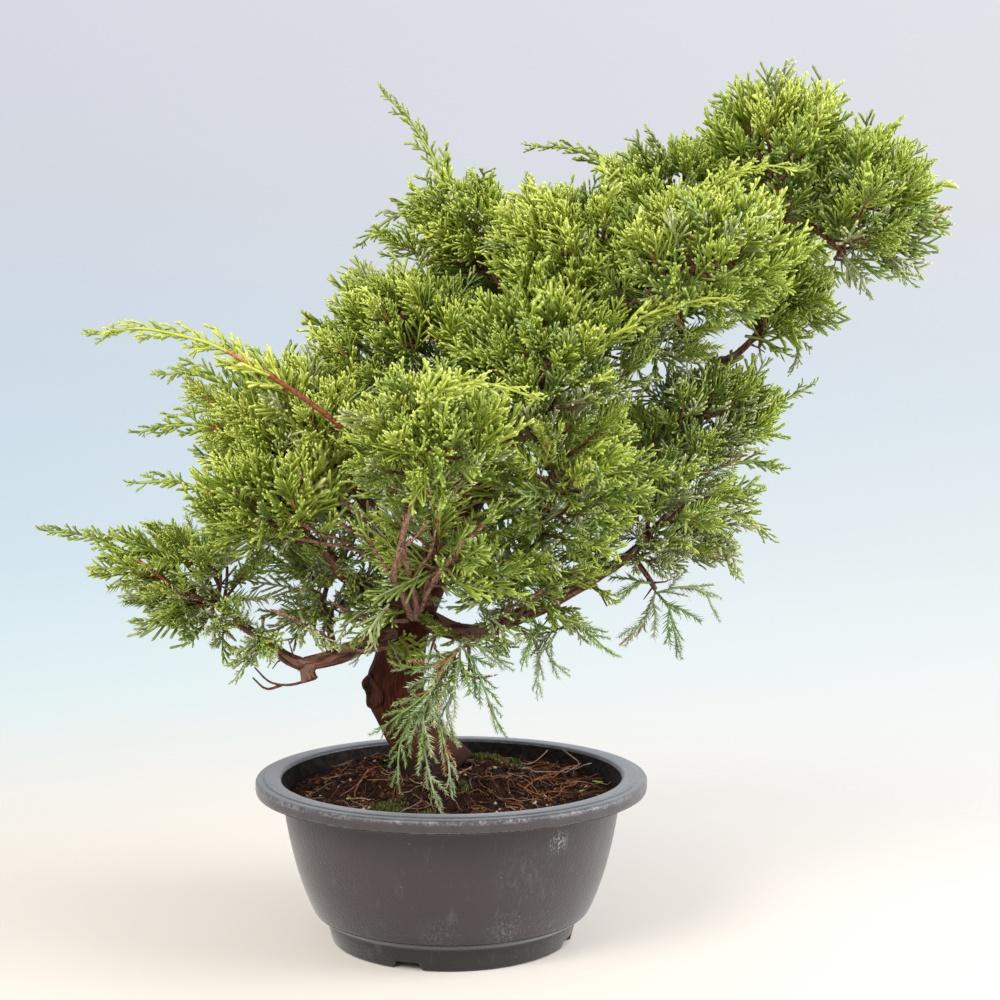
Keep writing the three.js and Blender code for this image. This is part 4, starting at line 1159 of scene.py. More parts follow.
def scatter(basket, kind, places, directions, sizes, tints, draw, towards=None):
    """Adds copies of sprays of one kind along their directions, bent any way or towards another direction."""
    places, directions = np.atleast_2d(places), unit(np.atleast_2d(directions))
    sizes = np.broadcast_to(np.asarray(sizes, float), len(places))
    tints = np.broadcast_to(np.asarray(tints, int), len(places))
    which = draw.integers(0, len(SHOOTS[kind]), len(places))
    loose = 0.5
    if towards is None:
        towards, loose = [0.31, 0.17, 0.93], math.pi
    towards = np.broadcast_to(np.asarray(towards, float), directions.shape) + [1e-4, 2e-4, 0]
    second = unit(np.cross(directions, towards))
    first = np.cross(second, directions)
    rolls = draw.uniform(-loose, loose, len(places))
    across = first * np.cos(rolls)[:, None] + second * np.sin(rolls)[:, None]
    turns = np.stack([across, np.cross(directions, across), directions], -1)
    for number, (corners, faces, slots) in enumerate(SHOOTS[kind]):
        chosen = np.flatnonzero(which == number)
        if not len(chosen):
            continue
        placed = np.einsum("nij,kj->nki", turns[chosen], corners) * sizes[chosen, None, None]
        placed += places[chosen, None]
        shifted = faces[None] + (np.arange(len(chosen)) * len(corners))[:, None, None]
        tinted = np.where(slots[None] == WOOD, WOOD, slots[None] + 2 * tints[chosen, None])
        basket.add(placed.reshape(-1, 3), shifted.reshape(-1, 3), tinted.ravel())


print("tints:", TINTS)

# %% [markdown]
# ## Clumps of sprays
# The tree carries its foliage on short upright shoots: a red-brown stem with sprays all round it, the low
# ones long and sweeping up, the top ones short, so that each ends in a small dome. They turn to the light,
# so even on the front of a mass they point up and show their sides. Each mass gets them spread evenly over
# its outline by the golden angle. Underneath they are thin and drooping, with darker tints as painted shade,
# and the sky shows through.

# %% Clumps of a mass
CLUMP_SPACING, CLUMP_SIZE = 35, 20
GOLDEN_TURN = math.pi * (3 - math.sqrt(5))
# Seeds of the draws that place a mass's clumps, fill them and grow its twigs; the mass's number is added.
PLACE_SEED, FILL_SEED, TWIG_SEED = 1000, 2000, 3000
# A clump's stem: how far below its middle it starts, and its length.
STEM_BELOW, STEM_LENGTH = 17, 21
# Places that stay free of clumps, with their reach: bays in the outline, and the fork that shows in front.
BAYS = [([-207, -20, 219], 19), ([-219, -20, 232], 12), ([67, 10, 458], 13), ([116, 0, 492], 15),
        ([143, 0, 512], 14), ([-153, -50, 297], 8), ([-29, 5, 424], 13), ([158, -10, 364], 12),
        ([24, 0, 472], 10), ([-32, -102, 232], 34), ([-34, -118, 256], 19), ([-84, -40, 362], 15),
        ([-124, -45, 346], 16), ([-108, -50, 358], 12), ([235, -10, 521], 13)]
# Places that get a clump more, by mass.
MORE_CLUMPS = {
    "apex_top": [[238, -6, 494]], "apex_right": [[258, -20, 492]], "upper_left": [[-40, 0, 420]],
    "mid_left": [[-60, -10, 408]], "right_mid": [[183, -12, 360]], "left_upper": [[-154, -52, 334]],
    "left_low": [[-168, -32, 188], [-150, -38, 187], [-124, -48, 183]], "front_low": [[2, -56, 212]],
    "center_low": [[12, -52, 205]], "right": [[203, 0, 318], [200, 0, 330]],
    "right_low": [[102, -40, 230], [114, -36, 222], [184, -8, 272], [160, -20, 230], [160, -8, 222]],
}


def covered(place):
    """How many masses a place lies in."""
    count = 0
    for mass in MASSES.values():
        away = place - mass["at"]
        distance = np.linalg.norm(away)
        count += distance < reach_of(mass, away / max(distance, 1e-6), apart=False)[0][0]
    return count


def clumps_of(name, number):
    """Foot, axis, size, kind and light of each clump of a mass."""
    mass = MASSES[name]
    draw = np.random.default_rng(PLACE_SEED + number)
    count = round(4 * math.pi * mass["mean"] ** 2 / CLUMP_SPACING**2)
    step = np.arange(count)
    level = 1 - 2 * (step + 0.5) / count
    turn = step * GOLDEN_TURN + number
    ring = np.sqrt(1 - level**2)
    ways = np.stack([ring * np.cos(turn), ring * np.sin(turn), level], -1)
    ways = unit(ways + draw.uniform(-0.13, 0.13, ways.shape))
    outline, nearest = reach_of(mass, ways)
    outline = outline * (1 + 0.16 * lumps(mass["at"] + ways * outline[:, None], 34, 7) - 0.08)
    tops = [(way, edge, plane, None) for way, edge, plane in zip(ways, outline, nearest)]
    tops += [(unit(np.array(p) - mass["at"]), 1.0, 9.0, np.array(p, float)) for p in MORE_CLUMPS.get(name, ())]
    clumps = []
    for way, edge, plane, given in tops:
        # Where a neighbour cuts the mass off deep inside, no clump stands; an open mass goes without some.
        if plane < edge * 0.6:
            continue
        under = max(0.0, -way[2] - 0.1)
        if given is None and draw.uniform() < mass["open"] * (0.3 + 0.5 * under):
            continue
        size = draw.choice([0.72, 0.86, 1.0, 1.12])
        # The top reaches the outline, and further where two masses meet, which closes the seam.
        top = min(edge * draw.uniform(0.96, 1.03), plane + 6)
        top += 9 * max(0.0, 1 - abs(plane / edge - 0.93) / 0.16)
        middle = mass["at"] + way * max(top - CLUMP_SIZE * size, 0.3 * top)
        if given is not None:
            middle = given - way * CLUMP_SIZE * size
        elif any(np.linalg.norm(mass["at"] + way * top - bay) < reach for bay, reach in BAYS):
            continue
        # Clumps lean away from the trunk and up, and more outward where a mass is open or hangs free.
        stem_x = np.interp(middle[2], trunk_path[:, 2], trunk_path[:, 0])
        flow = np.array([(middle[0] - stem_x) / 240, middle[1] / 400, 0])
        above, below = covered(middle + [0, 0, 42]), covered(middle - [0, 0, 38])
        kind = "full"
        axis = unit(way * [0.5, 0.5, 0.3] + flow + [0, 0, 0.72])
        if mass["open"] > 0.35 or (way[2] < -0.35 and not below):
            kind = "thin"
            axis = unit(way * [0.9, 0.9, 0.4] + 1.3 * flow + [0, 0, 0.32])
        # Painted light and shade, which picks the sprays' tints. Light falls from above: less under other
        # masses, more high on the tree, and more on the top of a mass than under it.
        light = (0.3 * way[2] - 0.25 * above + 0.25 + mass["bright"] + 0.7 * (middle[2] - 300) / 300
                 + draw.uniform(-0.38, 0.38))
        blue = float(np.interp(middle[2], [260, 380], [1, 0.3]))
        clumps.append({"foot": middle - axis * STEM_BELOW * size, "axis": axis, "size": size, "kind": kind,
                       "light": light, "young": 1.1 * mass["open"], "blue": blue})
    return clumps


ALL_CLUMPS = {name: clumps_of(name, number) for number, name in enumerate(MASSES)}
print("clumps:", sum(len(c) for c in ALL_CLUMPS.values()))

# %% Sprays of a clump
FULL_SPRAYS, THIN_SPRAYS = 9, 7


def tint_of(light, blue, draw):
    """The tint that a spray gets for how much light reaches its place, bluer low on the tree."""
    light = light + draw.uniform(-0.15, 0.15)
    if light > 0.75:
        return GOLDEN if draw.uniform() < (0.85 if light > 1.1 else 0.3) else SUNLIT
    if light > 0.3:
        return SUNLIT if draw.uniform() < 0.75 else GREEN
    if light > 0.0:
        return GREEN if draw.uniform() < 0.8 else SUNLIT
    if draw.uniform() < (0.55 - 0.3 * light) * blue:
        return OLIVE
    return GREEN if draw.uniform() < 0.5 else SHADED


def fill_clump(basket, clump, draw):
    """A stem with sprays spiralling up it."""
    foot, axis, size = clump["foot"], clump["axis"], clump["size"]
    top = foot + axis * STEM_LENGTH * size
    thin = clump["kind"] == "thin"
    count = THIN_SPRAYS if thin else FULL_SPRAYS
    basket.add_bar([foot, foot + axis * 9 * size, top], [1.15, 1.0, 0.75], 3, WOOD,
                   ORANGE if draw.uniform() < 0.3 else None)
    share = (np.arange(count) + 0.5) / count
    turn = np.arange(count) * GOLDEN_TURN * 1.02 + draw.uniform(0, math.tau)
    angle = np.radians((60 if thin else 68) - 52 * share + draw.uniform(-7, 7, count))
    ways = np.array([turned_from(axis, a, t) for a, t in zip(angle, turn)])
    places = foot + axis * ((1 + STEM_LENGTH * share) * size)[:, None]
    sizes = size * (1.06 - 0.2 * share) * draw.uniform(0.86, 1.12, count)
    # Painted light within a clump: its upper sprays get lighter tints than its lower ones.
    tints = np.array([tint_of(clump["light"] + 0.55 * (s - 0.45), clump["blue"], draw) for s in share])
    tints[draw.uniform(size=count) < (0.008 if clump["light"] < 0.1 else 0)] = DRY
    if thin:
        needles = draw.uniform(size=count) < clump["young"]
        kinds = (("needle", needles), ("thin", ~needles))
    else:
        upper = share > 0.62
        kinds = (("full", ~upper), ("top", upper))
    for kind, chosen in kinds:
        if chosen.any():
            scatter(basket, kind, places[chosen], ways[chosen], sizes[chosen], tints[chosen], draw, axis)
    if not thin and draw.uniform() < 0.3:
        leader = unit(axis + draw.uniform(-0.3, 0.3, 3))
        scatter(basket, "side", top, leader, draw.uniform(1.0, 1.4), tints[-1], draw)


def inner_sprays(basket, mass, draw):
    """A few sprays in the heart of a mass, so that it isn't hollow to look through, in painted shade."""
    count = round(mass["mean"] / 3.4 * (1 - 0.8 * mass["open"]))
    ways = unit(draw.normal(size=(count, 3)))
    outline, nearest = reach_of(mass, ways)
    places = mass["at"] + ways * (np.minimum(outline, nearest) * draw.uniform(0.1, 0.5, count))[:, None]
    # Painted shade: the heart of a mass gets only the shaded and olive tints.
    tints = draw.choice([SHADED, SHADED, OLIVE], count)
    scatter(basket, "thin", places, unit(ways + [0, 0, 0.6]), draw.uniform(0.9, 1.2, count), tints, draw)


print("sprays of a clump:", FULL_SPRAYS, "or", THIN_SPRAYS, "where it is thin")

# %% Zones of the crown
ZONES = {
    "apex_front": ["apex_top", "apex_right", "apex_left"],
    "apex_back": ["apex_back", "upper_back"],
    "shoulder": ["shoulder", "right_mid", "center_right"],
    "upper": ["mid_upper", "upper_left"],
    "middle": ["mid_left", "mid_center", "front"],
    "back": ["mid_back", "low_back"],
    "back_low": ["left_back", "right_back"],
    "left_upper": ["left_upper", "left_mid"],
    "left_low": ["left_low", "left_low_inner"],
    "center_low": ["front_low", "center", "center_low"],
    "right": ["right_low", "right"],
}
baskets = {}
for zone, names in ZONES.items():
    baskets[zone] = Basket()
    for name in names:
        draw = np.random.default_rng(FILL_SEED + list(MASSES).index(name))
        for clump in ALL_CLUMPS[name]:
            fill_clump(baskets[zone], clump, draw)
        inner_sprays(baskets[zone], MASSES[name], draw)
    print(zone, baskets[zone].triangles())
print("triangles in the clumps:", sum(b.triangles() for b in baskets.values()))

# %% [markdown]
# ## Runners and hanging shoots
# Strong young shoots run out far past the crown's outline, with side sprays that get shorter towards the
# tip. The longest, on the left, has a bare stem, red-brown and then orange. Under the right low bough soft
# shoots of young, needle-like foliage hang in three places, blue-green and feathery.

# %% Places of the runners
# Zone, length of the side sprays, share that is bare, tint, and path.
RUNNERS = [
    ("apex_front", 17, 0.1, SUNLIT, [[112, 8, 462], [94, 10, 473], [76, 10, 482], [50, 10, 484]]),
    ("upper", 19, 0.15, SUNLIT,
     [[4, 14, 446], [-4, 14, 464], [-13, 18, 482], [-25, 20, 501], [-40, 20, 516]]),
    ("upper", 17, 0.1, GREEN, [[-10, 12, 440], [-26, 8, 444], [-40, 10, 438], [-54, 14, 426]]),
    ("upper", 15, 0, SUNLIT, [[50, 0, 442], [48, -2, 452], [46, -4, 461]]),
    ("shoulder", 16, 0, OLIVE, [[190, -10, 384], [203, -12, 376], [210, -14, 364], [207, -14, 350]]),
    ("shoulder", 16, 0, GREEN, [[190, -10, 388], [208, -10, 384], [222, -10, 372]]),
    ("shoulder", 18, 0, GREEN, [[178, -8, 368], [188, -12, 366], [200, -14, 358]]),
    ("shoulder", 17, 0, OLIVE, [[116, -18, 364], [122, -26, 352], [114, -32, 336]]),
    ("shoulder", 15, 0, SHADED, [[132, -8, 380], [148, -12, 382], [162, -14, 374]]),
    ("apex_front", 18, 0, OLIVE, [[236, -4, 420], [246, -6, 408], [252, -6, 396]]),
    ("apex_front", 18, 0, OLIVE, [[258, -4, 424], [270, -6, 412], [278, -6, 402]]),
    ("apex_front", 18, 0, GREEN, [[220, -8, 418], [226, -10, 404], [222, -12, 392]]),
    ("left_upper", 25, 0.5, GOLDEN,
     [[-60, -102, 314], [-72, -105, 324], [-92, -102, 338], [-111, -92, 349], [-133, -78, 360],
      [-154, -68, 366], [-180, -60, 370], [-201, -56, 367]]),
    ("left_upper", 21, 0.3, SUNLIT, [[-112, -60, 318], [-126, -60, 336], [-144, -56, 346], [-164, -52, 344]]),
    ("left_upper", 18, 0.2, SUNLIT, [[-132, -60, 312], [-146, -58, 315], [-162, -56, 315], [-178, -54, 311]]),
    ("left_upper", 18, 0.35, SUNLIT, [[-120, -80, 266], [-136, -76, 276], [-156, -70, 283], [-180, -64, 282]]),
    ("left_low", 20, 0.3, SUNLIT,
     [[-166, -40, 222], [-184, -36, 235], [-205, -30, 245], [-222, -24, 250], [-240, -20, 251]]),
    ("left_low", 18, 0.1, OLIVE, [[-142, -30, 206], [-136, -38, 190], [-122, -44, 178]]),
    ("left_low", 20, 0.1, OLIVE, [[-112, -30, 200], [-112, -44, 188], [-124, -52, 178]]),
    ("left_low", 20, 0, OLIVE, [[-90, -34, 204], [-84, -50, 196], [-72, -56, 188]]),
    ("center_low", 18, 0, OLIVE, [[-36, -62, 212], [-43, -60, 201], [-46, -58, 188]]),
    ("center_low", 15, 0.2, GREEN, [[-44, -100, 250], [-49, -104, 258], [-52, -106, 267]]),
    ("center_low", 15, 0.2, SUNLIT, [[-20, -113, 274], [-20, -118, 281], [-18, -121, 290]]),
    ("center_low", 14, 0.2, GREEN, [[15, -112, 260], [21, -116, 266], [26, -118, 274]]),
    ("center_low", 14, 0.2, GREEN, [[-8, -100, 262], [-6, -106, 269], [-2, -110, 277]]),
    ("center_low", 18, 0, OLIVE, [[-50, -40, 206], [-60, -52, 200], [-66, -56, 190]]),
    ("center_low", 19, 0, GREEN, [[52, -40, 214], [60, -54, 204], [74, -60, 200]]),
    ("center_low", 18, 0, OLIVE, [[20, -40, 206], [26, -56, 200], [36, -64, 194]]),
    ("right", 16, 0, GREEN, [[180, 8, 316], [200, 9, 326], [222, 10, 338]]),
    ("right", 18, 0, OLIVE, [[150, -20, 250], [162, -26, 240], [170, -28, 226]]),
    ("right", 18, 0, GREEN, [[170, 0, 262], [184, -2, 256], [194, -2, 246]]),
    ("right", 18, 0, GREEN, [[172, 0, 290], [186, 0, 292], [200, 0, 288]]),
    ("middle", 17, 0, GOLDEN,
     [[92, -84, 366], [110, -97, 377], [127, -103, 382], [144, -105, 385], [156, -104, 383]]),
    ("apex_front", 16, 0, GOLDEN,
     [[136, -62, 441], [152, -76, 453], [167, -81, 459], [181, -82, 460], [192, -82, 458]]),
    ("middle", 18, 0, GOLDEN,
     [[-20, -132, 322], [-4, -142, 334], [14, -146, 338], [30, -146, 335], [42, -144, 331]]),
    ("center_low", 18, 0, GREEN, [[-28, -30, 204], [-40, -44, 202], [-50, -50, 196], [-60, -50, 187]]),
]
print("runners:", len(RUNNERS))

# %% Places of the hanging shoots, and shoots on the limbs
# Length of the side sprays, tint and path of each hanging shoot.
HANGING = {
    "hanging_front": [
        (27, OLIVE, [[5, -37, 184], [-3, -50, 173], [-11, -60, 161], [-16, -66, 148], [-16, -70, 131],
                     [-13, -73, 115], [-10, -75, 103]]),
        (25, SHADED, [[4, -40, 183], [-7, -54, 171], [-16, -62, 158], [-25, -68, 144], [-30, -72, 130],
                      [-31, -74, 115]]),
        (22, OLIVE, [[-4, -50, 172], [-10, -62, 154], [-6, -68, 138], [-2, -72, 122], [-1, -74, 110]]),
        (20, GREEN, [[3, -38, 182], [-9, -50, 176], [-20, -56, 174], [-29, -58, 175]]),
        (20, SHADED, [[-9, -60, 164], [-22, -66, 154], [-31, -68, 148], [-40, -70, 141]]),
        (22, SHADED, [[6, -40, 184], [13, -48, 175], [18, -54, 164], [22, -58, 153], [27, -60, 141]]),
        (24, OLIVE, [[5, -42, 183], [4, -52, 171], [0, -58, 159], [-3, -62, 149], [0, -64, 138]]),
        (21, GREEN, [[7, -38, 186], [15, -46, 185], [22, -50, 182], [29, -52, 176]]),
        (14, DRY, [[4, -46, 182], [-3, -56, 177], [-8, -62, 169]]),
    ],
    "hanging_mid": [
        (20, OLIVE, [[62, -36, 193], [53, -44, 188], [51, -50, 176], [50, -52, 162]]),
        (18, OLIVE, [[62, -38, 192], [56, -48, 182], [60, -52, 176], [64, -52, 172]]),
        (20, GREEN, [[61, -38, 193], [52, -48, 196], [46, -56, 190], [42, -60, 180]]),
        (20, GREEN, [[62, -36, 193], [72, -46, 198], [81, -52, 192], [91, -54, 183]]),
    ],
    "hanging_right": [
        (23, OLIVE, [[122, -28, 216], [119, -32, 205], [114, -34, 197], [107, -34, 190]]),
        (23, SHADED, [[123, -30, 214], [129, -34, 206], [132, -35, 195], [134, -35, 184]]),
        (21, GREEN, [[120, -27, 220], [110, -32, 220], [103, -34, 213]]),
        (20, OLIVE, [[122, -29, 214], [138, -33, 218], [150, -36, 215], [156, -36, 204]]),
    ],
}
# Short shoots straight from a limb: shares of its length between which they grow, number, and zone.
LIMB_SHOOTS = [
    ("left_mid_bough", 0.1, 1.0, 16, "left_upper"),
    ("left_low_bough_inner", 0.02, 0.3, 7, "left_low"),
    ("left_low_bough_outer", 0.4, 1.0, 6, "left_low"),
    ("front_bough", 0.2, 0.85, 3, "center_low"),
    ("right_low_bough", 0.14, 0.8, 22, "right"),
]
print("hanging shoots:", sum(len(shoots) for shoots in HANGING.values()))

# %% Shoots along a path
# The step of a shoot's path, how far its side sprays stand apart, on a limb's own shoots too, and how long
# a full-size spray of either kind is, in millimetres.
RUNNER_STEP, SPRAYS_APART, LIMB_SPRAYS_APART = 1.5, 5.0, 4.2
FULL_SPRAY = {"side": 22, "needle": 34}
LESS_LIT = {GOLDEN: SUNLIT, SUNLIT: GREEN, GREEN: OLIVE, OLIVE: GREEN, SHADED: GREEN, DRY: OLIVE}


def runner(basket, points, blade, tint, bare, kind, spacing, draw, stem=1.3):
    """A shoot along a path with side sprays on alternate sides, mostly in the plane that faces the front."""
    path = smooth_path(points, RUNNER_STEP)[0]
    tangents = unit(np.gradient(path, axis=0))
    last = len(path) - 1
    green = max(1, int(bare * last))
    if bare:
        basket.add_bar(path[: green + 1], np.linspace(stem, 0.8 * stem, green + 1), 5, RED, ORANGE, 0.6)
    radius = min(1.1, 0.8 * stem) if kind == "side" else 0.8
    basket.add_bar(path[green - 1 :], np.linspace(radius, 0.75 * radius, last - green + 2), 4, CORD + 2 * tint)
    reach = FULL_SPRAY[kind]
    places, ways, sizes, ahead = [], [], [], []
    count = max(3, round(last * RUNNER_STEP / spacing))
    for k in range(count):
        share = (k + 0.6) / count
        if share < bare * 0.4:
            continue
        at = int(share * last)
        across = unit(np.cross(tangents[at], [0.0, 1.0, 0.0])) * (1 if k % 2 else -1)
        lean = draw.uniform(-0.75, 0.75) if k % 3 else draw.choice([-1.3, 1.3])
        out = across * math.cos(lean) + np.array([0, math.sin(lean), 0])
        angle = math.radians(draw.uniform(24, 40))
        places.append(path[at])
        ways.append(tangents[at] * math.cos(angle) + out * math.sin(angle))
        sizes.append(blade / reach * (1.3 - 0.8 * share) * draw.uniform(0.85, 1.15))
        ahead.append(tangents[at])
    places.append(path[-2])
    ways.append(tangents[-1])
    sizes.append(blade / reach * 0.6)
    ahead.append(tangents[-1] + [0, 0, 0.3])
    tints = [tint if draw.uniform() < 0.75 else LESS_LIT[tint] for _ in places]
    if kind == "needle":
        tints = [DRY if draw.uniform() < 0.06 else t for t in tints]
    scatter(basket, kind, places, ways, sizes, tints, draw, ahead)


draw = np.random.default_rng(77)
for zone, blade, bare, tint, points in RUNNERS:
    runner(baskets[zone], points, blade, tint, bare, "side", SPRAYS_APART, draw, 1.7 if bare > 0.45 else 1.3)
for zone, shoots in HANGING.items():
    baskets[zone] = Basket()
    for blade, tint, points in shoots:
        runner(baskets[zone], points, blade, tint, 0, "needle", SPRAYS_APART, draw)
    print(zone, baskets[zone].triangles())
for name, low, high, count, zone in LIMB_SHOOTS:
    for k in range(count):
        foot = share_of(BOUGHS[name][2], low + (high - low) * (k + draw.uniform()) / count)
        away = unit([draw.uniform(-0.8, 0.8), draw.uniform(-1, -0.4), draw.uniform(-0.45, 0.8)])
        size = draw.uniform(16, 36)
        tip = foot + away * size + [0, 0, draw.uniform(-7, 4)]
        tint, kind = draw.choice([OLIVE, GREEN, OLIVE, SUNLIT]), "needle" if k % 5 < 2 else "side"
        runner(baskets[zone], [foot, foot + away * size * 0.5, tip], draw.uniform(14, 20), int(tint), 0.25,
               kind, LIMB_SPRAYS_APART, draw, 0.9)

# %% [markdown]
# ## Twigs
# Inside a mass the bough goes on into ever finer twigs, one for each clump. Each clump joins the nearest
# twig that already reaches towards it, and a twig is as thick as the number of clumps that it feeds asks.

# %% Network of twigs
TWIG, FLAKE, RUST, PINKISH = range(4)
# What a detour costs a clump that looks for a twig to join; a twig's least radius, and growth with its load.
DETOUR, TWIG_LEAST, TWIG_GROWTH = 0.45, 0.62, 0.3


def twig_network(basket, mass, clumps, draw):
    """Twigs from a mass's limb to each of its clumps, the nearest clumps first."""
    if mass["limb"] == "trunk":
        start, radius = share_of(trunk_path, mass["from"]), 3.0
    else:
        limb = BOUGHS[mass["limb"]]
        start, radius = share_of(limb[2], mass["from"]), limb[1]
    places, parents, run = [start], [-1], [0.0]

    def add(place, parent):
        places.append(place)
        parents.append(parent)
        run.append(run[parent] + np.linalg.norm(place - places[parent]))
        return len(places) - 1

    last = 0
    for share in (0.4, 0.8):
        last = add(start + (mass["at"] - start) * share + draw.uniform(-3, 3, 3), last)
    for clump in sorted(clumps, key=lambda c: np.linalg.norm(c["foot"] - start)):
        far = np.linalg.norm(np.array(places) - clump["foot"], axis=1) + DETOUR * np.array(run)
        parent = int(np.argmin(far))
        gap = clump["foot"] - places[parent]
        middle = places[parent] + 0.5 * gap + draw.uniform(-0.09, 0.09, 3) * np.linalg.norm(gap) - [0, 0, 1.5]
        add(clump["foot"], add(middle, parent))
    load = np.ones(len(places))
    for node in range(len(places) - 1, 0, -1):
        load[parents[node]] += load[node]
    thick = np.minimum(radius, TWIG_LEAST + TWIG_GROWTH * np.sqrt(load))
    for node in range(1, len(places)):
        ends = [places[parents[node]], places[node]]
        basket.add_bar(ends, [min(thick[parents[node]], thick[node] * 1.25), thick[node]], 5, TWIG)


twigs = Basket()
for number, (name, mass) in enumerate(MASSES.items()):
    twig_network(twigs, mass, ALL_CLUMPS[name], np.random.default_rng(TWIG_SEED + number))
print("triangles in the network:", twigs.triangles())

# %% Flakes of bark
WEDGE = [[0, 1, 3], [1, 2, 3], [2, 0, 3], [0, 2, 1]]
# How far the flakes stand apart on the fork of twigs and on the limbs, in millimetres.
FORK_FLAKES, LIMB_FLAKES = 0.8, 1.1


def add_flakes(basket, path, radii, spacing, draw):
    """Lifted scales of old leaves on a limb, each a thin wedge whose tip stands off."""
    tangents, normals, across = side_frames(path)
    length = run_along(path)
    for k in range(int(length[-1] / spacing)):
        far = draw.uniform(0, length[-1])
        at = min(int(np.searchsorted(length, far)), len(path) - 1)
        turn = draw.uniform(0, math.tau)
        out = normals[at] * math.cos(turn) + across[at] * math.sin(turn)
        side = np.cross(tangents[at], out)
        foot = path[at] + out * radii[at] * 0.92 + tangents[at] * draw.uniform(-1.5, 1.5)
        wide, long = draw.uniform(0.35, 0.8), draw.uniform(1.6, 3.4)
        tip = foot + tangents[at] * long + out * draw.uniform(0.5, 1.5) + side * draw.uniform(-0.5, 0.5)
        corners = [foot - side * wide, foot + side * wide, foot - out * 0.4, tip]
        basket.add(corners, WEDGE, draw.choice([FLAKE, FLAKE, RUST, TWIG]))


print("flakes a centimetre of limb:", round(10 / LIMB_FLAKES))

# %% Twigs that show, and small ones on the limbs
BARE_TWIGS = [
    [[-84, -30, 163], [-97, -31, 160], [-108, -32, 162], [-117, -33, 171]],
    [[-101, -31, 160], [-110, -33, 158], [-118, -34, 165]],
    [[84, -22, 222], [89, -26, 214], [93, -28, 206]],
]
for path in BARE_TWIGS:
    path = smooth_path(path, 3)[0]
    twigs.add_bar(path, np.linspace(1.0, 0.5, len(path)), 5, TWIG)
# The fork of flaky twigs that shows low on the front: radius at the foot, and path.
FORK_TWIGS = [
    (2.2, [[-23, -24, 199], [-30, -52, 217], [-33, -74, 228], [-30, -92, 242], [-28, -104, 253],
           [-24, -112, 265], [-20, -115, 276]]),
    (2.3, [[-21, -24, 199], [-22, -46, 216], [-24, -62, 226], [-26, -78, 237], [-27, -88, 251],
           [-27, -96, 266]]),
    (1.5, [[-20, -28, 203], [-12, -62, 222], [-7, -84, 232], [1, -98, 241], [8, -108, 252], [16, -112, 260]]),
    (0.9, [[-33, -76, 229], [-39, -90, 240], [-45, -100, 250]]),
    (0.9, [[-29, -98, 248], [-20, -106, 253], [-14, -112, 262]]),
    (1.1, [[-23, -60, 225], [-14, -80, 240], [-10, -94, 252], [-7, -101, 264]]),
    (1.2, [[9, -24, 189], [10, -32, 178], [10, -38, 170], [6, -44, 165]]),
    (0.9, [[-10, -28, 184], [-9, -30, 180], [-2, -38, 176], [5, -42, 171], [9, -46, 167], [17, -50, 167],
           [24, -52, 168]]),
    (0.8, [[-9, -20, 190], [-12, -28, 180], [-15, -40, 171]]),
    (1.3, [[-30, -36, 216], [-44, -50, 237], [-64, -66, 246], [-81, -74, 250], [-97, -78, 254]]),
    (1.2, [[-36, -46, 232], [-59, -60, 247], [-79, -76, 256], [-92, -84, 263]]),
    (1.5, [[-34, -50, 238], [-57, -62, 254], [-69, -74, 265], [-76, -86, 275], [-84, -94, 290]]),
    (1.2, [[-44, -58, 252], [-53, -66, 264], [-64, -78, 276], [-70, -88, 284]]),
    (1.5, [[-26, -14, 196], [-43, -26, 198], [-57, -36, 203], [-70, -42, 210]]),
    (1.4, [[-34, -8, 180], [-48, -22, 179], [-67, -38, 185], [-75, -44, 192], [-88, -50, 200],
           [-104, -52, 207]]),
    (1.8, [[-16, -40, 214], [-12, -60, 227], [-3, -72, 238], [7, -82, 249], [18, -88, 260]]),
    (1.3, [[25, -14, 194], [30, -34, 202], [40, -46, 212], [52, -56, 218]]),
    (1.2, [[24, -16, 190], [32, -34, 196], [47, -46, 189], [52, -50, 178]]),
    (1.4, [[40, -22, 200], [50, -38, 213], [64, -48, 222], [76, -54, 232]]),
]
draw = np.random.default_rng(90)
for thick, path in FORK_TWIGS:
    path = smooth_path(path, 2)[0]
    path = path + 0.9 * np.stack([lumps(path, 9, seed) for seed in (3, 4, 5)], -1)
    radii = np.linspace(thick, 0.55 * thick, len(path)) * (1 + 0.25 * lumps(path, 5, 6))
    twigs.add_bar(path, radii, 7, PINKISH)
    add_flakes(twigs, path, radii, FORK_FLAKES, draw)
for start, end, path in LIMBS.values():
    add_flakes(twigs, path, np.linspace(start, end, len(path)), LIMB_FLAKES, draw)
draw = np.random.default_rng(91)
for _, _, path in BOUGHS.values():
    for _ in range(max(2, len(path) // 5)):
        at = draw.integers(2, len(path) - 1)
        way = turned_from(path[at] - path[at - 1], draw.uniform(0.7, 1.3), draw.uniform(0, math.tau))
        length = draw.uniform(7, 20)
        knee = path[at] + way * length * 0.5
        tip = knee + unit(way + draw.uniform(-0.5, 0.5, 3)) * length * 0.5
        twigs.add_bar([path[at], knee, tip], [0.8, 0.6, 0.35], 3, TWIG)
twig_piece = twigs.piece("twigs_bark")
print("triangles in the foliage and twigs:", sum(b.triangles() for b in baskets.values()) + twigs.triangles())

# %% [markdown]
# ## Greens
# Living cords are a waxy, slightly glossy green. New growth in the light is yellow-green and nearly golden
# at its ends; shaded and young foliage is darker and bluer. Where a colour belongs to a place it is dealt
# out spray by spray by the light that reaches it, so the tints from golden to shaded and olive are painted
# light and shade as well as the colours of the growth. Within a cord the finish only wavers finely between
# two near greens.

# %% Finishes of the foliage


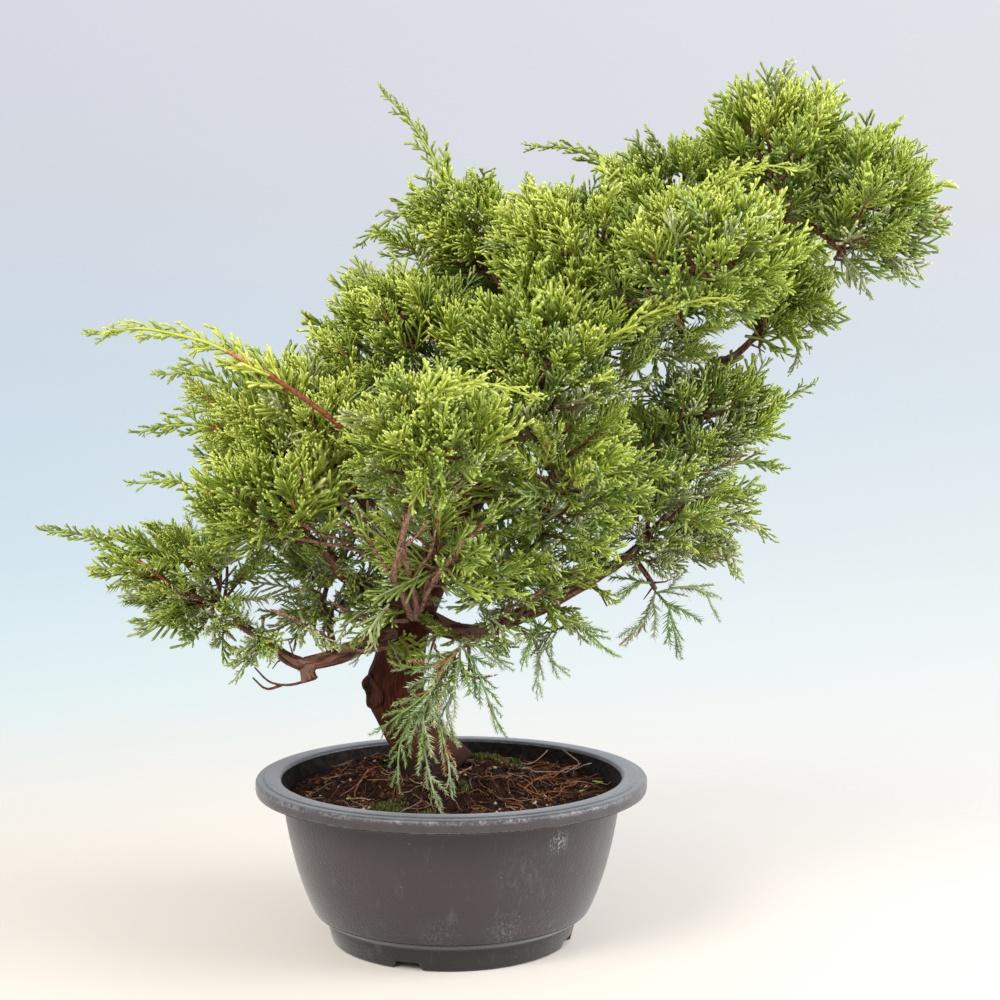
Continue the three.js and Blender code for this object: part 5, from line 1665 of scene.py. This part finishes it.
def cord_material(name, first, second, roughness=0.48):
    """The waxy skin of living cords, with the edges of their scales."""
    material, tree, shader = new_material(name, roughness, 1.42)
    place = own_place(tree)
    paint(tree, shader, step_colours(tree, noise(tree, place, 5, 3), 0.38, 0.62, first, second))
    scales = add_node(tree, "TexVoronoi", {0: place, 2: 1 / (SCALE * MM)}).outputs["Distance"]
    bump(tree, shader, scales, 0.18, 0.5)
    return material


twig_bark = mottled_material("juniper_twig_bark_flaky", "#42261b", "#8c6353", 0.85, 1.2)
FINISHES = (
    ("golden", "#b3c148", "#bfcb56", "#d0db70", "#d9e382"),
    ("sunlit", "#92a636", "#a1b244", "#b2c152", "#bfcc62"),
    ("green", "#82983a", "#92a648", "#aabb57", "#b6c364"),
    ("shaded", "#758a3e", "#84974c", "#9fb060", "#adbc6f"),
    ("olive", "#959f65", "#a5ad74", "#c3c994", "#ced3a2"),
    ("dry", "#8c5e36", "#a87e48", "#bd9a5e", "#c6a96f"),
)
# The hanging shoots have older cords, duller and bluer than the crown's.
HANGING_FINISHES = FINISHES[:2] + (
    ("hanging_green", "#799440", "#89a34f", "#a1b95f", "#aec26c"),
    ("hanging_shaded", "#6b8547", "#7b9456", "#93ad6b", "#a2ba7a"),
    ("hanging_olive", "#8c9b6b", "#9da97b", "#b9c599", "#c5cfa8"),
) + FINISHES[5:]
SHOOT_BARKS = [mottled_material("juniper_shoot_bark_orange", "#935934", "#c99257", 0.6, 1.6),
               mottled_material("juniper_shoot_bark_red", "#5f2c1c", "#94563b", 0.6, 1.6)]


def greens_of(rows):
    """The twigs' bark, then cords and cord tips of each tint, then the two barks of the shoots."""
    slots = [twig_bark]
    for name, first, second, tip_first, tip_second in rows:
        slots.append(cord_material("juniper_cords_" + name, first, second))
        slots.append(cord_material("juniper_cord_tips_" + name, tip_first, tip_second, 0.42))
    return slots + SHOOT_BARKS


GREENS, HANGING_GREENS = greens_of(FINISHES), greens_of(HANGING_FINISHES)
for zone, basket in baskets.items():
    hangs = zone in HANGING
    finish_piece(basket.piece("foliage_" + zone), HANGING_GREENS if hangs else GREENS,
                 [name + "_foliage" for name in ZONES.get(zone, [zone])])
flake_light = mottled_material("juniper_bark_flakes_pale", "#8f6a59", "#b8998a", 0.9, 1.5)
flake_rust = mottled_material("juniper_bark_flakes_rusty", "#6e3a24", "#97573a", 0.85, 1.5)
fork_bark = mottled_material("juniper_bark_forks_pinkish", "#795445", "#b58c7b", 0.9, 1.6)
finish_piece(twig_piece, [twig_bark, flake_light, flake_rust, fork_bark])
